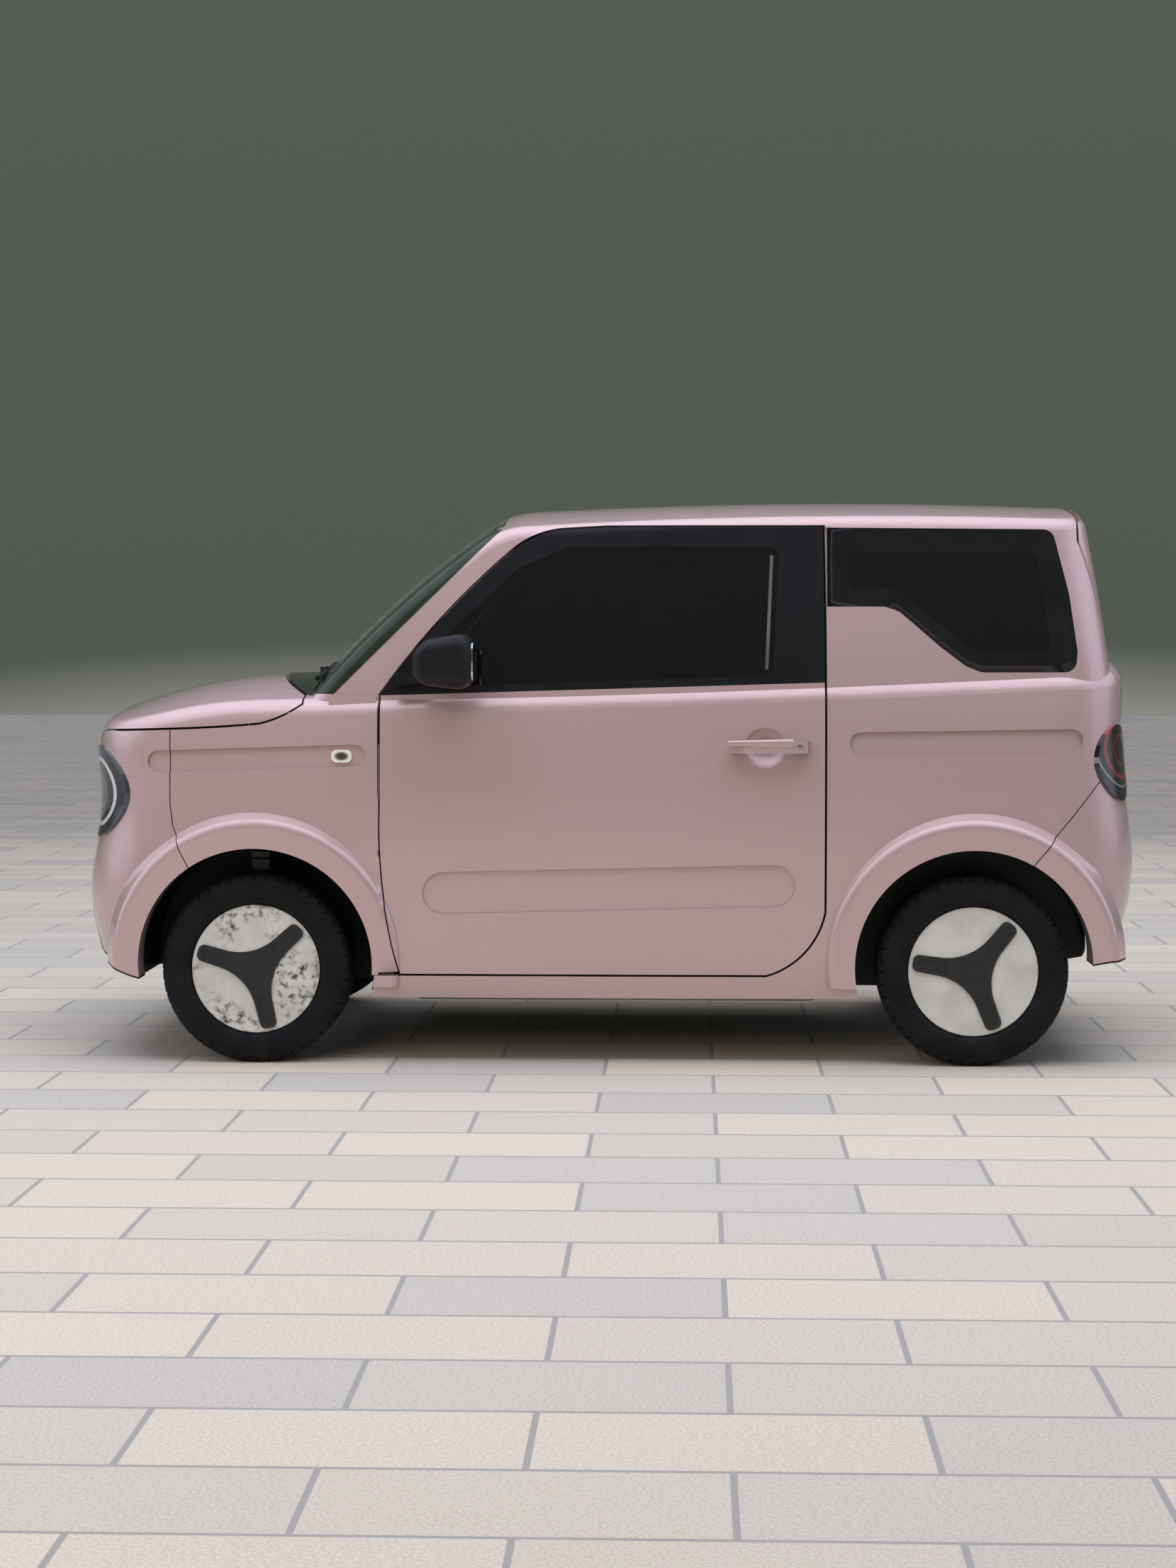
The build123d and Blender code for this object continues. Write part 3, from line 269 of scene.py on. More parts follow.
def calc(tree, operation, first, second=None):
    node = tree.nodes.new("ShaderNodeMath")
    node.operation = operation
    for socket, value in zip(node.inputs, (first, second)):
        if isinstance(value, (int, float)):
            socket.default_value = value
        elif value is not None:
            tree.links.new(value, socket)
    return node.outputs["Value"]


def axes(tree, point):
    split = tree.nodes.new("ShaderNodeSeparateXYZ")
    tree.links.new(point, split.inputs["Vector"])
    return split.outputs["X"], split.outputs["Y"], split.outputs["Z"]


def blendColours(tree, factor, first, second, blend="MIX"):
    mix = tree.nodes.new("ShaderNodeMix")
    mix.data_type = "RGBA"
    mix.blend_type = blend
    if isinstance(factor, float):
        mix.inputs["Factor"].default_value = factor
    else:
        tree.links.new(factor, mix.inputs["Factor"])
    for socket, colour in ((mix.inputs[6], first), (mix.inputs[7], second)):
        if isinstance(colour, tuple):
            socket.default_value = (*colour, 1)
        else:
            tree.links.new(colour, socket)
    return mix.outputs[2]


def bump(tree, shader, height, strength, distance):
    node = tree.nodes.new("ShaderNodeBump")
    setSockets(node, {"Strength": strength, "Distance": distance})
    tree.links.new(height, node.inputs["Height"])
    tree.links.new(node.outputs["Normal"], shader.inputs["Normal"])


def paintMaterial(name, look):
    # metallic paint: fine flakes in two tones under a clear coat
    material, tree, shader = newMaterial(name)
    point = objectPoint(tree)
    flakes = noiseFactor(tree, point, look["flake"], detail=1.0)
    tone = twoTones(tree, flakes, look["mix"], look["deep"], look["base"])
    tree.links.new(tone, shader.inputs["Base Color"])
    setSockets(shader, {"Metallic": look["metallic"], "Roughness": look["roughness"],
                        "Coat Weight": look["coat"], "Coat Roughness": look["coatRoughness"]})
    waves = noiseFactor(tree, point, look["wave"], detail=3.0)
    bump(tree, shader, waves, look["ripple"], look["rippleHeight"])
    return material


def grainMaterial(name, ownLook):
    # plastic, rubber or cast metal with a fine grain
    look = {**grainShared, **ownLook}
    material, tree, shader = newMaterial(name)
    point = objectPoint(tree)
    cloud = noiseFactor(tree, point, look["cloud"], detail=5.0)
    tone = twoTones(tree, cloud, look["mix"], look["base"], look["pale"])
    tree.links.new(tone, shader.inputs["Base Color"])
    setSockets(shader, {"Roughness": look["roughness"], "Specular IOR Level": look["specular"]})
    bump(tree, shader, noiseFactor(tree, point, look["grain"], detail=2.0), look["bump"], look["height"])
    return material


def tyreMaterial(name, look):
    # rubber with patches of dust
    material, tree, shader = newMaterial(name)
    point = objectPoint(tree)
    cloud = noiseFactor(tree, point, look["cloud"], detail=6.0)
    tone = twoTones(tree, cloud, look["mix"], look["base"], look["dusty"])
    tree.links.new(tone, shader.inputs["Base Color"])
    setSockets(shader, {"Roughness": look["roughness"], "Specular IOR Level": look["specular"]})
    bump(tree, shader, noiseFactor(tree, point, look["grain"], detail=3.0), look["bump"], look["height"])
    return material


def glassMaterial(name, ownLook):
    # tinted glass with faint smears in its tint
    look = {**glassShared, **ownLook}
    material, tree, shader = newMaterial(name)
    smear = noiseFactor(tree, objectPoint(tree), look["smear"], detail=5.0)
    lighter = tuple(min(1.0, value * look["lighter"]) for value in look["base"])
    tree.links.new(twoTones(tree, smear, look["mix"], look["base"], lighter), shader.inputs["Base Color"])
    setSockets(shader, {"Roughness": look["roughness"], "Alpha": look["alpha"], "Coat Weight": 1.0,
                        "Coat Roughness": look["coatRoughness"]})
    return material


def clothMaterial(name, ownLook):
    # two sets of threads, crossed, over a slow change of tone
    look = {**clothShared, **ownLook}
    material, tree, shader = newMaterial(name)
    point = objectPoint(tree)
    x, y, z = axes(tree, point)
    turns = 6.2832 / look["thread"]  # a full turn for each thread
    slanted = calc(tree, "ADD", y, calc(tree, "MULTIPLY", x, look["skew"]))
    warp = calc(tree, "SINE", calc(tree, "MULTIPLY", calc(tree, "ADD", x, z), turns))
    weft = calc(tree, "SINE", calc(tree, "MULTIPLY", slanted, turns))
    weave = calc(tree, "MULTIPLY_ADD", calc(tree, "MULTIPLY", warp, weft), 0.5)
    cloud = noiseFactor(tree, point, look["cloud"], detail=5.0)
    tone = twoTones(tree, cloud, look["mix"], look["dark"], look["base"])
    tree.links.new(tone, shader.inputs["Base Color"])
    setSockets(shader, {"Roughness": look["roughness"], "Sheen Weight": look["sheen"]})
    bump(tree, shader, weave, look["bump"], look["height"])
    return material


def metalMaterial(name, ownLook):
    # brushed metal, with its streaks across the car's height
    look = {**metalShared, **ownLook}
    material, tree, shader = newMaterial(name)
    brushed = noiseFactor(tree, objectPoint(tree, look["stretch"]), look["brush"], detail=2.0)
    tone = twoTones(tree, brushed, look["mix"], look["base"], look["pale"])
    tree.links.new(tone, shader.inputs["Base Color"])
    setSockets(shader, {"Metallic": 1.0, "Roughness": look["roughness"]})
    return material


def coverMaterial(name, look, scuffs):
    # off-white cover with scuffs; what stands outside trimPlane is the black trim
    material, tree, shader = newMaterial(name)
    point = objectPoint(tree)
    y = axes(tree, point)[1]
    speckle = noiseFactor(tree, point, scuffs["spots"], detail=8.0, rough=scuffs["ragged"])
    spots = twoTones(tree, speckle, scuffs["amount"])
    clusters = twoTones(tree, noiseFactor(tree, point, scuffs["clusters"], detail=2.0), scuffs["reach"])
    cloud = noiseFactor(tree, point, look["cloud"], detail=4.0)
    clean = twoTones(tree, cloud, look["mix"], look["shade"], look["base"])
    marks = calc(tree, "MULTIPLY", spots, clusters)
    worn = blendColours(tree, marks, clean, look["scuff"])
    raised = calc(tree, "GREATER_THAN", calc(tree, "ABSOLUTE", y), look["trimPlane"])
    tree.links.new(blendColours(tree, raised, worn, look["trim"]), shader.inputs["Base Color"])
    setSockets(shader, {"Roughness": look["roughness"]})
    bump(tree, shader, noiseFactor(tree, point, look["grain"], detail=2.0), look["bump"], look["height"])
    return material


def ovalMaterial(name, ownLook):
    # rings round an oval's middle, over Z and one level axis, as a lamp shows them through its lens
    look = {**lensShared, **ownLook}
    material, tree, shader = newMaterial(name)
    x, y, z = axes(tree, objectPoint(tree))
    flat = calc(tree, "ABSOLUTE", y) if look["across"] == "y" else x
    squares = []
    for place, centre, radius in zip((flat, z), look["centre"], look["radii"]):
        share = calc(tree, "DIVIDE", calc(tree, "SUBTRACT", place, centre), radius)
        squares.append(calc(tree, "MULTIPLY", share, share))
    reach = calc(tree, "SQRT", calc(tree, "ADD", *squares))
    tree.links.new(ramp(tree, reach, look["rings"], True), shader.inputs["Base Color"])
    setSockets(shader, {"Roughness": look["roughness"], "Coat Weight": look["coat"],
                        "Coat Roughness": look["coatRoughness"]})
    return material


pinkPaint = paintMaterial("pinkPaint", paintLook)
tyreRubber = tyreMaterial("tyreRubber", tyreLook)
blackGrained = grainMaterial("blackGrained", grainLook)
blackGloss = grainMaterial("blackGloss", glossLook)
chassisPaint = grainMaterial("chassisPaint", chassisLook)
castAlloy = grainMaterial("castAlloy", alloyLook)
cabinPlastic = grainMaterial("cabinPlastic", cabinLook)
channelRubber = grainMaterial("channelRubber", channelLook)
edgeGlass = grainMaterial("edgeGlass", edgeLook)
seatCloth = clothMaterial("seatCloth", clothLook)
pipingCloth = clothMaterial("pipingCloth", pipingLook)
coverFront = coverMaterial("coverFront", coverLook, frontScuff)
coverRear = coverMaterial("coverRear", coverLook, rearScuff)
screenGlass = glassMaterial("screenGlass", screenLook)
doorGlass = glassMaterial("doorGlass", doorGlassLook)
tintedGlass = glassMaterial("tintedGlass", tintedLook)
brushedSteel = metalMaterial("brushedSteel", steelLook)
silvered = metalMaterial("silvered", silverLook)
headlampLens = ovalMaterial("headlampLens", headlampLook)
tailLampLens = ovalMaterial("tailLampLens", tailLampLook)
repeaterLens = ovalMaterial("repeaterLens", repeaterLook)

paintedNodes = ["body_side_left", "body_side_right", "front_wing_left", "front_wing_right", "door_left",
                "door_right", "bonnet", "roof", "front_bumper", "rear_bumper", "tailgate"]
finishGroups = [
    (pinkPaint, paintedNodes),
    (blackGrained, ["window_frame_left", "window_frame_right", "front_grille", "rear_valance",
                    "wheel_arch_linings", "wipers"]),
    (blackGloss, ["cowl"]), (screenGlass, ["windscreen"]),
    (doorGlass, ["door_glass_left", "door_glass_right"]),
    (tintedGlass, ["quarter_glass", "tailgate_glass"]), (headlampLens, ["headlamps"]),
    (tailLampLens, ["tail_lamps"]), (repeaterLens, ["side_repeaters"]),
    (chassisPaint, ["floor", "front_subframe", "knuckle_left", "knuckle_right", "rear_axle"]),
    (castAlloy, ["battery_pack", "drive_unit"]), (seatCloth, ["front_seats", "rear_seat"]),
    (cabinPlastic, ["dashboard", "steering_wheel"]),
    (tyreRubber, ["tyre_front_left", "tyre_front_right", "tyre_rear_left", "tyre_rear_right"]),
    (coverFront, ["wheel_front_left", "wheel_front_right"]),
    (coverRear, ["wheel_rear_left", "wheel_rear_right"])]
nodeFinish = {nodeName: material for material, nodeNames in finishGroups for nodeName in nodeNames}
for nodeName, node in nodes.items():
    node.data.materials.clear()
    node.data.materials.append(nodeFinish[nodeName])
print("finishes given to", len(nodeFinish), "nodes")

# Painted skins: a corner normal that strays while its face's other corners are even takes the face's own
shading = {"even": 0.96, "stray": 0.75, "shortest": 0.9}


def mendShading(mesh, look):
    normals = [Vector(corner.vector) for corner in mesh.corner_normals]
    mended = 0
    for face in mesh.polygons:
        for k in face.loop_indices:
            even = all(normals[j].dot(face.normal) > look["even"] for j in face.loop_indices if j != k)
            stray = normals[k].dot(face.normal) < look["stray"]
            if normals[k].length < look["shortest"] or (even and stray):
                normals[k] = face.normal.copy()
                mended += 1
    if mended:
        mesh.normals_split_custom_set(normals)
    return mended


mendedCorners = sum(mendShading(nodes[nodeName].data, shading) for nodeName in paintedNodes)
print("stray corner normals mended:", mendedCorners)

# Tyres: rubber rings with grooves, shoulder sipes and sidewall steps
tyre = {"segments": 240, "tread": 0.2665, "groove": 0.0065, "grooves": (0.046, 0.039, 0.018, 0.010),
        "weld": 0.00001, "sipeEvery": 5, "sipeDepth": 0.004, "sipeInset": 0.0022, "sipeBand": (0.047, 0.0725),
        "sipeRadius": 0.25, "sipeFacing": 0.95,
        # half a section from the bead to the shoulder: distance from the tyre's middle, radius
        "sidewall": [(0.0585, 0.172), (0.0605, 0.1825), (0.067, 0.185), (0.0735, 0.190), (0.0775, 0.1965),
                     (0.0792, 0.2035), (0.0803, 0.2040), (0.0816, 0.2100), (0.0824, 0.2190), (0.0825, 0.2270),
                     (0.0815, 0.2345), (0.0805, 0.2350), (0.0793, 0.2400), (0.0768, 0.2455), (0.0730, 0.2515),
                     (0.0685, 0.2575), (0.0625, 0.2630), (0.0560, 0.2660)]}


def tyreRings(look):
    tread = []
    for k, place in enumerate(look["grooves"]):
        top, low = look["tread"], look["tread"] - look["groove"]
        tread += [(place, top), (place, low)] if k % 2 == 0 else [(place, low), (place, top)]
    half = look["sidewall"] + tread
    return half + [(-place, radius) for place, radius in reversed(half)]


def makeTyre(name, axle, look):
    rings = tyreRings(look)
    bpy.ops.mesh.primitive_circle_add(vertices=look["segments"], radius=rings[0][1], fill_type="NOTHING",
                                      location=(axle[0], axle[1] + rings[0][0], axle[2]),
                                      rotation=(math.pi / 2, 0, 0))
    piece = placePrimitive(name, (1, 1, 1))
    openEdit(piece, "VERT")
    for before, after in zip(rings, rings[1:] + rings[:1]):
        extrudeBy((0, after[0] - before[0], 0))
        if after[1] != before[1]:
            scale = after[1] / before[1]
            ringMiddle = (axle[0], axle[1] + after[0], axle[2])
            bpy.ops.transform.resize(value=(scale, 1, scale), center_override=ringMiddle)
    selectAll()
    bpy.ops.mesh.remove_doubles(threshold=look["weld"])
    bpy.ops.mesh.normals_make_consistent(inside=False)
    closeEdit()

    def isSipe(middle, normal):
        across, up = middle[0] - axle[0], middle[2] - axle[2]
        turn = math.atan2(up, across) / (2 * math.pi) * look["segments"]
        nearest, furthest = look["sipeBand"]
        return (int(math.floor(turn)) % look["sipeEvery"] == 0
                and nearest < abs(middle[1] - axle[1]) < furthest
                and abs(normal[1]) < look["sipeFacing"] and math.hypot(up, across) > look["sipeRadius"])

    selectFaces(piece, isSipe)
    bpy.ops.mesh.inset(thickness=look["sipeInset"], depth=-look["sipeDepth"], use_boundary=True,
                       use_individual=False)
    closeEdit()
    return piece


for wheelPlace in ("front_left", "front_right", "rear_left", "rear_right"):
    tyreNode = "tyre_" + wheelPlace
    low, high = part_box(tyreNode)
    middle = [(a + b) / 2 for a, b in zip(low, high)]
    rubber = makeTyre("rubber_" + wheelPlace, middle, tyre)
    finishPiece(rubber, bodyOf[tyreNode], tyreRubber, (tyreNode,))
print("tyres made")

# Glass borders: the dark band round each pane's outer face
paneBorders = {
    "screenBorder": {"pane": "windscreen", "width": 0.050,
                     "outer": lambda middle, normal: normal[0] < -0.2 and normal[2] > 0.1},
    "tailgateBorder": {"pane": "tailgate_glass", "width": 0.035,
                       "outer": lambda middle, normal: normal[0] > 0.3}}
borderFit = {"lift": 0.0006, "cuts": 2}
# the quarter pane's clear part, seen from the side: corners as place along and height, and their rounding
quarterClear = {"corners": [(0.675, 1.440), (1.205, 1.440), (1.245, 1.160), (1.035, 1.157), (0.805, 1.337),
                            (0.679, 1.339)],
                "round": 0.022, "roundSegments": 8, "cuts": 3, "bridgeCuts": 2, "outward": 0.5, "start": 0.8,
                "moveOut": 0.2}


def glassBorder(name, look):
    band = copyNode(look["pane"], name)
    selectFaces(band, lambda middle, normal: not look["outer"](middle, normal))
    bpy.ops.mesh.delete(type="FACE")
    selectAll()
    bpy.ops.mesh.dissolve_faces()
    bpy.ops.mesh.inset(thickness=look["width"], use_individual=True, use_even_offset=True)
    bpy.ops.mesh.delete(type="FACE")
    selectAll()
    bpy.ops.mesh.quads_convert_to_tris()
    bpy.ops.mesh.subdivide(number_cuts=borderFit["cuts"])
    closeEdit()
    hug = band.modifiers.new("hug", "SHRINKWRAP")
    hug.target = nodes[look["pane"]]
    hug.wrap_mode = "OUTSIDE_SURFACE"
    hug.offset = borderFit["lift"]
    applyModifiers(band)
    return band


def takeNormals(piece, nodeName):
    # a band on a pane shades as the pane does
    facing = piece.modifiers.new("facing", "DATA_TRANSFER")
    facing.object = nodes[nodeName]
    facing.use_loop_data = True
    facing.data_types_loops = {"CUSTOM_NORMAL"}
    facing.loop_mapping = "POLYINTERP_NEAREST"
    applyModifiers(piece)


def layFromSide(piece, nodeName, side, lift):
    # a modifier that moves a flat piece straight in from the side until it lies on a node
    lay = piece.modifiers.new("lay", "SHRINKWRAP")
    lay.target = nodes[nodeName]
    lay.wrap_method = "PROJECT"
    lay.use_project_x = lay.use_project_z = False
    lay.use_project_y = True
    lay.use_positive_direction = side < 0
    lay.use_negative_direction = side > 0
    lay.offset = lift


def clearOutline(look, side):
    corners = [(x, look["start"] * side, z) for x, z in look["corners"]]
    data = bpy.data.meshes.new("clearOutline")
    data.from_pydata(corners, [(k, (k + 1) % len(corners)) for k in range(len(corners))], [])
    outline = linkPiece("clearOutline", data)
    openEdit(outline, "VERT")
    bpy.ops.mesh.bevel(offset=look["round"], segments=look["roundSegments"], affect="VERTICES")
    selectAll()
    bpy.ops.mesh.subdivide(number_cuts=look["cuts"])
    closeEdit()
    return outline


def quarterBorder(name, look, side):
    # the pane's own outline is bridged to the clear part's, and laid on the pane
    band = copyNode("quarter_glass", name)

    def isOuter(middle, normal):
        return normal[1] * side > look["outward"] and middle[1] * side > 0

    selectFaces(band, lambda middle, normal: not isOuter(middle, normal))
    bpy.ops.mesh.delete(type="FACE")
    selectAll()
    bpy.ops.mesh.dissolve_faces()
    selectAll()
    bpy.ops.mesh.delete(type="ONLY_FACE")
    closeEdit()
    outline = clearOutline(look, side)
    makeActive(band)
    outline.select_set(True)
    bpy.ops.object.join()
    openEdit(band, "EDGE")
    bpy.ops.mesh.bridge_edge_loops(number_cuts=look["bridgeCuts"])
    selectAll()
    bpy.ops.transform.translate(value=(0, look["moveOut"] * side, 0))
    selectAll()
    bpy.ops.mesh.quads_convert_to_tris()
    closeEdit()
    layFromSide(band, "quarter_glass", side, borderFit["lift"])
    applyModifiers(band)
    openEdit(band, "EDGE")
    bpy.ops.mesh.normals_make_consistent(inside=False)
    mesh = bmesh.from_edit_mesh(band.data)
    if sum(face.normal[1] * side for face in mesh.faces) < 0:
        bpy.ops.mesh.flip_normals()
    closeEdit()
    return band


for pieceName, look in paneBorders.items():
    band = glassBorder(pieceName, look)
    finishPiece(band, bodyOf[look["pane"]], blackGloss)
    takeNormals(band, look["pane"])
for side, hand in hands:
    band = quarterBorder("quarterBorder_" + hand, quarterClear, side)
    finishPiece(band, "body", blackGloss)
    takeNormals(band, "quarter_glass")
print("glass borders made")

# Windscreen edges: the dark band of the curved screen that shows from the side, in front of each pillar
screenEdge = {"low": (-0.767, 1.041), "high": (-0.298, 1.505), "lift": 0.0007, "inner": 0.30,
              "outward": 0.12, "upward": 0.05}


def makeScreenEdge(name, nodeName, look, side):
    edge = copyNode(nodeName, name)
    (lowX, lowZ), (highX, highZ) = look["low"], look["high"]
    lowPoint, highPoint = (lowX, 0, lowZ), (highX, 0, highZ)
    along = Vector((highX - lowX, 0, highZ - lowZ)).normalized()
    cuts = [(lowPoint, (-along[2], 0, along[0])), (lowPoint, (0, 0, 1)), (highPoint, (0, 0, -1)),
            ((0, look["inner"] * side, 0), (0, side, 0))]
    openEdit(edge, "EDGE")
    for place, facing in cuts:
        selectAll()
        bpy.ops.mesh.bisect(plane_co=place, plane_no=facing, clear_inner=True)
    selectFaces(edge, lambda middle, normal: normal[1] * side < look["outward"] or normal[2] < look["upward"])
    bpy.ops.mesh.delete(type="FACE")
    selectAll()
    bpy.ops.transform.shrink_fatten(value=look["lift"])
    closeEdit()
    return edge


for side, hand in hands:
    edge = makeScreenEdge("screenEdge_" + hand, "body_side_" + hand, screenEdge, side)
    finishPiece(edge, "body", edgeGlass)
print("windscreen edges made")

# Door glass: the pale edge of its channel, upright near its rear end
glassStrip = {"middle": (0.456, 1.270), "width": 0.009, "height": 0.320, "lean": -2.6, "thickness": 0.0012,
              "lift": 0.0006, "start": 0.95, "rows": 24, "outermost": 0.9}


def sideStrip(name, look, nodeName, side):
    # a flat strip laid against a node from the side
    x, z = look["middle"]
    bpy.ops.mesh.primitive_grid_add(x_subdivisions=2, y_subdivisions=look["rows"], size=1,
                                    location=(x, look["start"] * side, z),
                                    rotation=(math.pi / 2, math.radians(-look["lean"]), 0))
    strip = placePrimitive(name, (look["width"], look["height"], 1))
    layFromSide(strip, nodeName, side, look["lift"])
    thick = strip.modifiers.new("thick", "SOLIDIFY")
    thick.thickness = look["thickness"]
    thick.offset = 0
    applyModifiers(strip)
    if max(abs(vertex.co[1]) for vertex in strip.data.vertices) > look["outermost"]:
        raise RuntimeError(name + " reaches past its pane")
    return strip


for side, hand in hands:
    strip = sideStrip("glassChannel_" + hand, glassStrip, "door_glass_" + hand, side)
    finishPiece(strip, "door_" + hand, channelRubber)
print("door glass channels made")

# Door lock: a small barrel in the rear end of the left handle, with a rim and a slot as shares of its radius
lock = {"place": (0.540, 0.901), "radius": 0.0085, "depth": 0.006, "segments": 48, "rim": 0.22,
        "dish": 0.0012, "step": 0.3, "slot": (0.0022, 0.0075), "slotDepth": 0.002, "outward": 0.9}


def makeLock(name, look, nodeName, side):
    bpy.ops.mesh.primitive_cylinder_add(vertices=look["segments"], radius=look["radius"], depth=look["depth"],
                                        location=sidePoint(nodeName, *look["place"], side),
                                        rotation=(math.pi / 2, 0, 0))
    barrel = placePrimitive(name, (1, 1, 1))
    selectFaces(barrel, lambda middle, facing: facing[1] * side > look["outward"])
    bpy.ops.mesh.inset(thickness=look["radius"] * look["rim"])
    bpy.ops.transform.translate(value=(0, -look["dish"] * side, 0))
    bpy.ops.mesh.inset(thickness=look["radius"] * look["step"])
    bpy.ops.transform.resize(value=(look["slot"][0] / look["radius"], 1, look["slot"][1] / look["radius"]))
    extrudeBy((0, -look["slotDepth"] * side, 0))
    closeEdit()
    return barrel


finishPiece(makeLock("doorLock", lock, "door_left", -1), "door_left", brushedSteel)
print("door lock made")

# Wing rear edges: the skin below the waist that follows the door's curved front edge
wingEdge = {"low": 0.250, "high": 0.90, "rows": 66, "columns": 4, "gap": 0.0045, "thickness": 0.0014,
            "scan": (-0.70, -0.56), "step": 0.0005, "outside": 0.70, "narrowest": 0.001}


def edgeAlong(nodeName, z, side, look, fromFront):
    # the first or last place along the car where a line from the side meets the node's outer skin
    first, last = look["scan"]
    steps = int((last - first) / look["step"])
    for k in range(steps):
        x = first + look["step"] * (k if fromFront else steps - k)
        place = sidePoint(nodeName, x, z, side)
        if place is not None and abs(place[1]) > look["outside"]:
            return x, place[1]
    return None


def makeWingEdge(name, hand, side, look):
    # each row runs from the wing's own edge to a small gap before the door's
    columns = look["columns"]
    points = []
    for k in range(look["rows"] + 1):
        z = look["low"] + (look["high"] - look["low"]) * k / look["rows"]
        wingSide = edgeAlong("front_wing_" + hand, z, side, look, False)
        doorSide = edgeAlong("door_" + hand, z, side, look, True)
        if not wingSide or not doorSide:
            continue
        reach = doorSide[0] - look["gap"] - wingSide[0]
        if reach > look["narrowest"]:
            for j in range(columns + 1):
                share = j / columns
                y = wingSide[1] + (doorSide[1] - wingSide[1]) * share
                points.append((wingSide[0] + reach * share, y, z))
    faces = []
    for corner in range(len(points) - columns - 1):
        if corner % (columns + 1) < columns:
            faces.append((corner, corner + 1, corner + columns + 2, corner + columns + 1))
    data = bpy.data.meshes.new(name)
    data.from_pydata(points, [], faces)
    skin = linkPiece(name, data)
    if side > 0:
        openEdit(skin, "FACE")
        bpy.ops.mesh.flip_normals()
        closeEdit()
    wall = skin.modifiers.new("wall", "SOLIDIFY")
    wall.thickness = look["thickness"]
    wall.offset = -1
    applyModifiers(skin)
    return skin


for side, hand in hands:
    skin = makeWingEdge("wingEdge_" + hand, hand, side, wingEdge)
    finishPiece(skin, "body", pinkPaint)
print("wing edges made")

# Door handles: a rounded bar that narrows towards the front, over the flat one
handleBar = {"from": 0.338, "to": 0.524, "height": 0.905, "tall": 0.027, "deep": 0.020, "round": 0.0085,
             "segments": 6, "stand": 0.003, "tip": 1.2, "taper": 0.62, "tipDepth": 0.8}


def makeHandleBar(name, look, nodeName, side):
    middleX = (look["from"] + look["to"]) / 2
    skinY = sidePoint(nodeName, middleX, look["height"], side)[1]
    middle = (middleX, skinY - side * (look["deep"] / 2 - look["stand"]), look["height"])
    size = (look["to"] - look["from"], look["deep"], look["tall"])
    bar = roundedBox(name, middle, size, 0, look["round"], look["segments"])
    selectFaces(bar, lambda middle, facing: middle[0] < look["from"] + look["round"] * look["tip"])
    bpy.ops.transform.resize(value=(1, look["tipDepth"], look["taper"]),
                             center_override=(look["from"], skinY, look["height"]))
    closeEdit()
    return bar


for side, hand in hands:
    bar = makeHandleBar("handleBar_" + hand, handleBar, "door_" + hand, side)
    finishPiece(bar, "door_" + hand, pinkPaint)
print("handle bars made")

# Door mirrors: the mirror glass in a rounded frame on the rear face of each head
mirrorGlass = {"y": (0.752, 0.898), "z": (1.082, 1.186), "behind": 0.2, "round": 0.026, "segments": 10,
               "thickness": 0.004, "sink": 0.0008, "rim": 0.003, "rimStep": 0.0015, "rearward": 0.9}


def makeMirrorGlass(name, look, nodeName, side):
    middleY = side * sum(look["y"]) / 2
    middleZ = sum(look["z"]) / 2
    headX = lineMeets(nodeName, (look["behind"], middleY, middleZ), (-1, 0, 0))[0]
    bpy.ops.mesh.primitive_cube_add(size=1, location=(headX + look["thickness"] / 2 - look["sink"],
                                                      middleY, middleZ))
    size = (look["thickness"], look["y"][1] - look["y"][0], look["z"][1] - look["z"][0])
    pane = placePrimitive(name, size)
    openEdit(pane, "EDGE", "DESELECT")
    mesh = bmesh.from_edit_mesh(pane.data)
    for edge in mesh.edges:
        ends = edge.verts[0].co - edge.verts[1].co
        edge.select_set(abs(ends[0]) > abs(ends[1]) + abs(ends[2]))
    bmesh.update_edit_mesh(pane.data)
    bpy.ops.mesh.bevel(offset=look["round"], segments=look["segments"])
    closeEdit()
    selectFaces(pane, lambda middle, facing: facing[0] > look["rearward"])
    bpy.ops.mesh.inset(thickness=look["rim"])
    bpy.ops.transform.translate(value=(-look["rimStep"], 0, 0))
    closeEdit()
    return pane


for side, hand in hands:
    pane = makeMirrorGlass("mirrorGlass_" + hand, mirrorGlass, "window_frame_" + hand, side)
    finishPiece(pane, "door_" + hand, silvered)
print("mirror glasses made")

# Mirror heads: the block of each window frame is drawn in towards the front and keeps its rear face
mirrorHead = {"x": (-0.5245, -0.3615), "z": (1.057, 1.209), "outside": 0.7119, "narrow": 0.44, "sink": 0.05,
              "until": 0.62}


def shapeMirrorHead(name, nodeName, look):
    doorFrame = copyNode(nodeName, name)
    bpy.ops.mesh.customdata_custom_splitnormals_clear()
    first, last = look["x"]
    low, high = look["z"]
    middle = (low + high) / 2
    for vertex in doorFrame.data.vertices:
        x, y, z = vertex.co
        if abs(y) > look["outside"] and first < x < last and low < z < high:
            along = (x - first) / (last - first)
            share = max(0.0, 1 - along / look["until"]) ** 2
            drawnIn = middle + (z - middle) * (1 - look["narrow"] * share)
            vertex.co[2] = drawnIn - look["sink"] * share * (high - low)
    return doorFrame


for side, hand in hands:
    nodeName = "window_frame_" + hand
    doorFrame = shapeMirrorHead("doorFrame_" + hand, nodeName, mirrorHead)
    finishPiece(doorFrame, bodyOf[nodeName], blackGrained, (nodeName,))
print("mirror heads shaped")

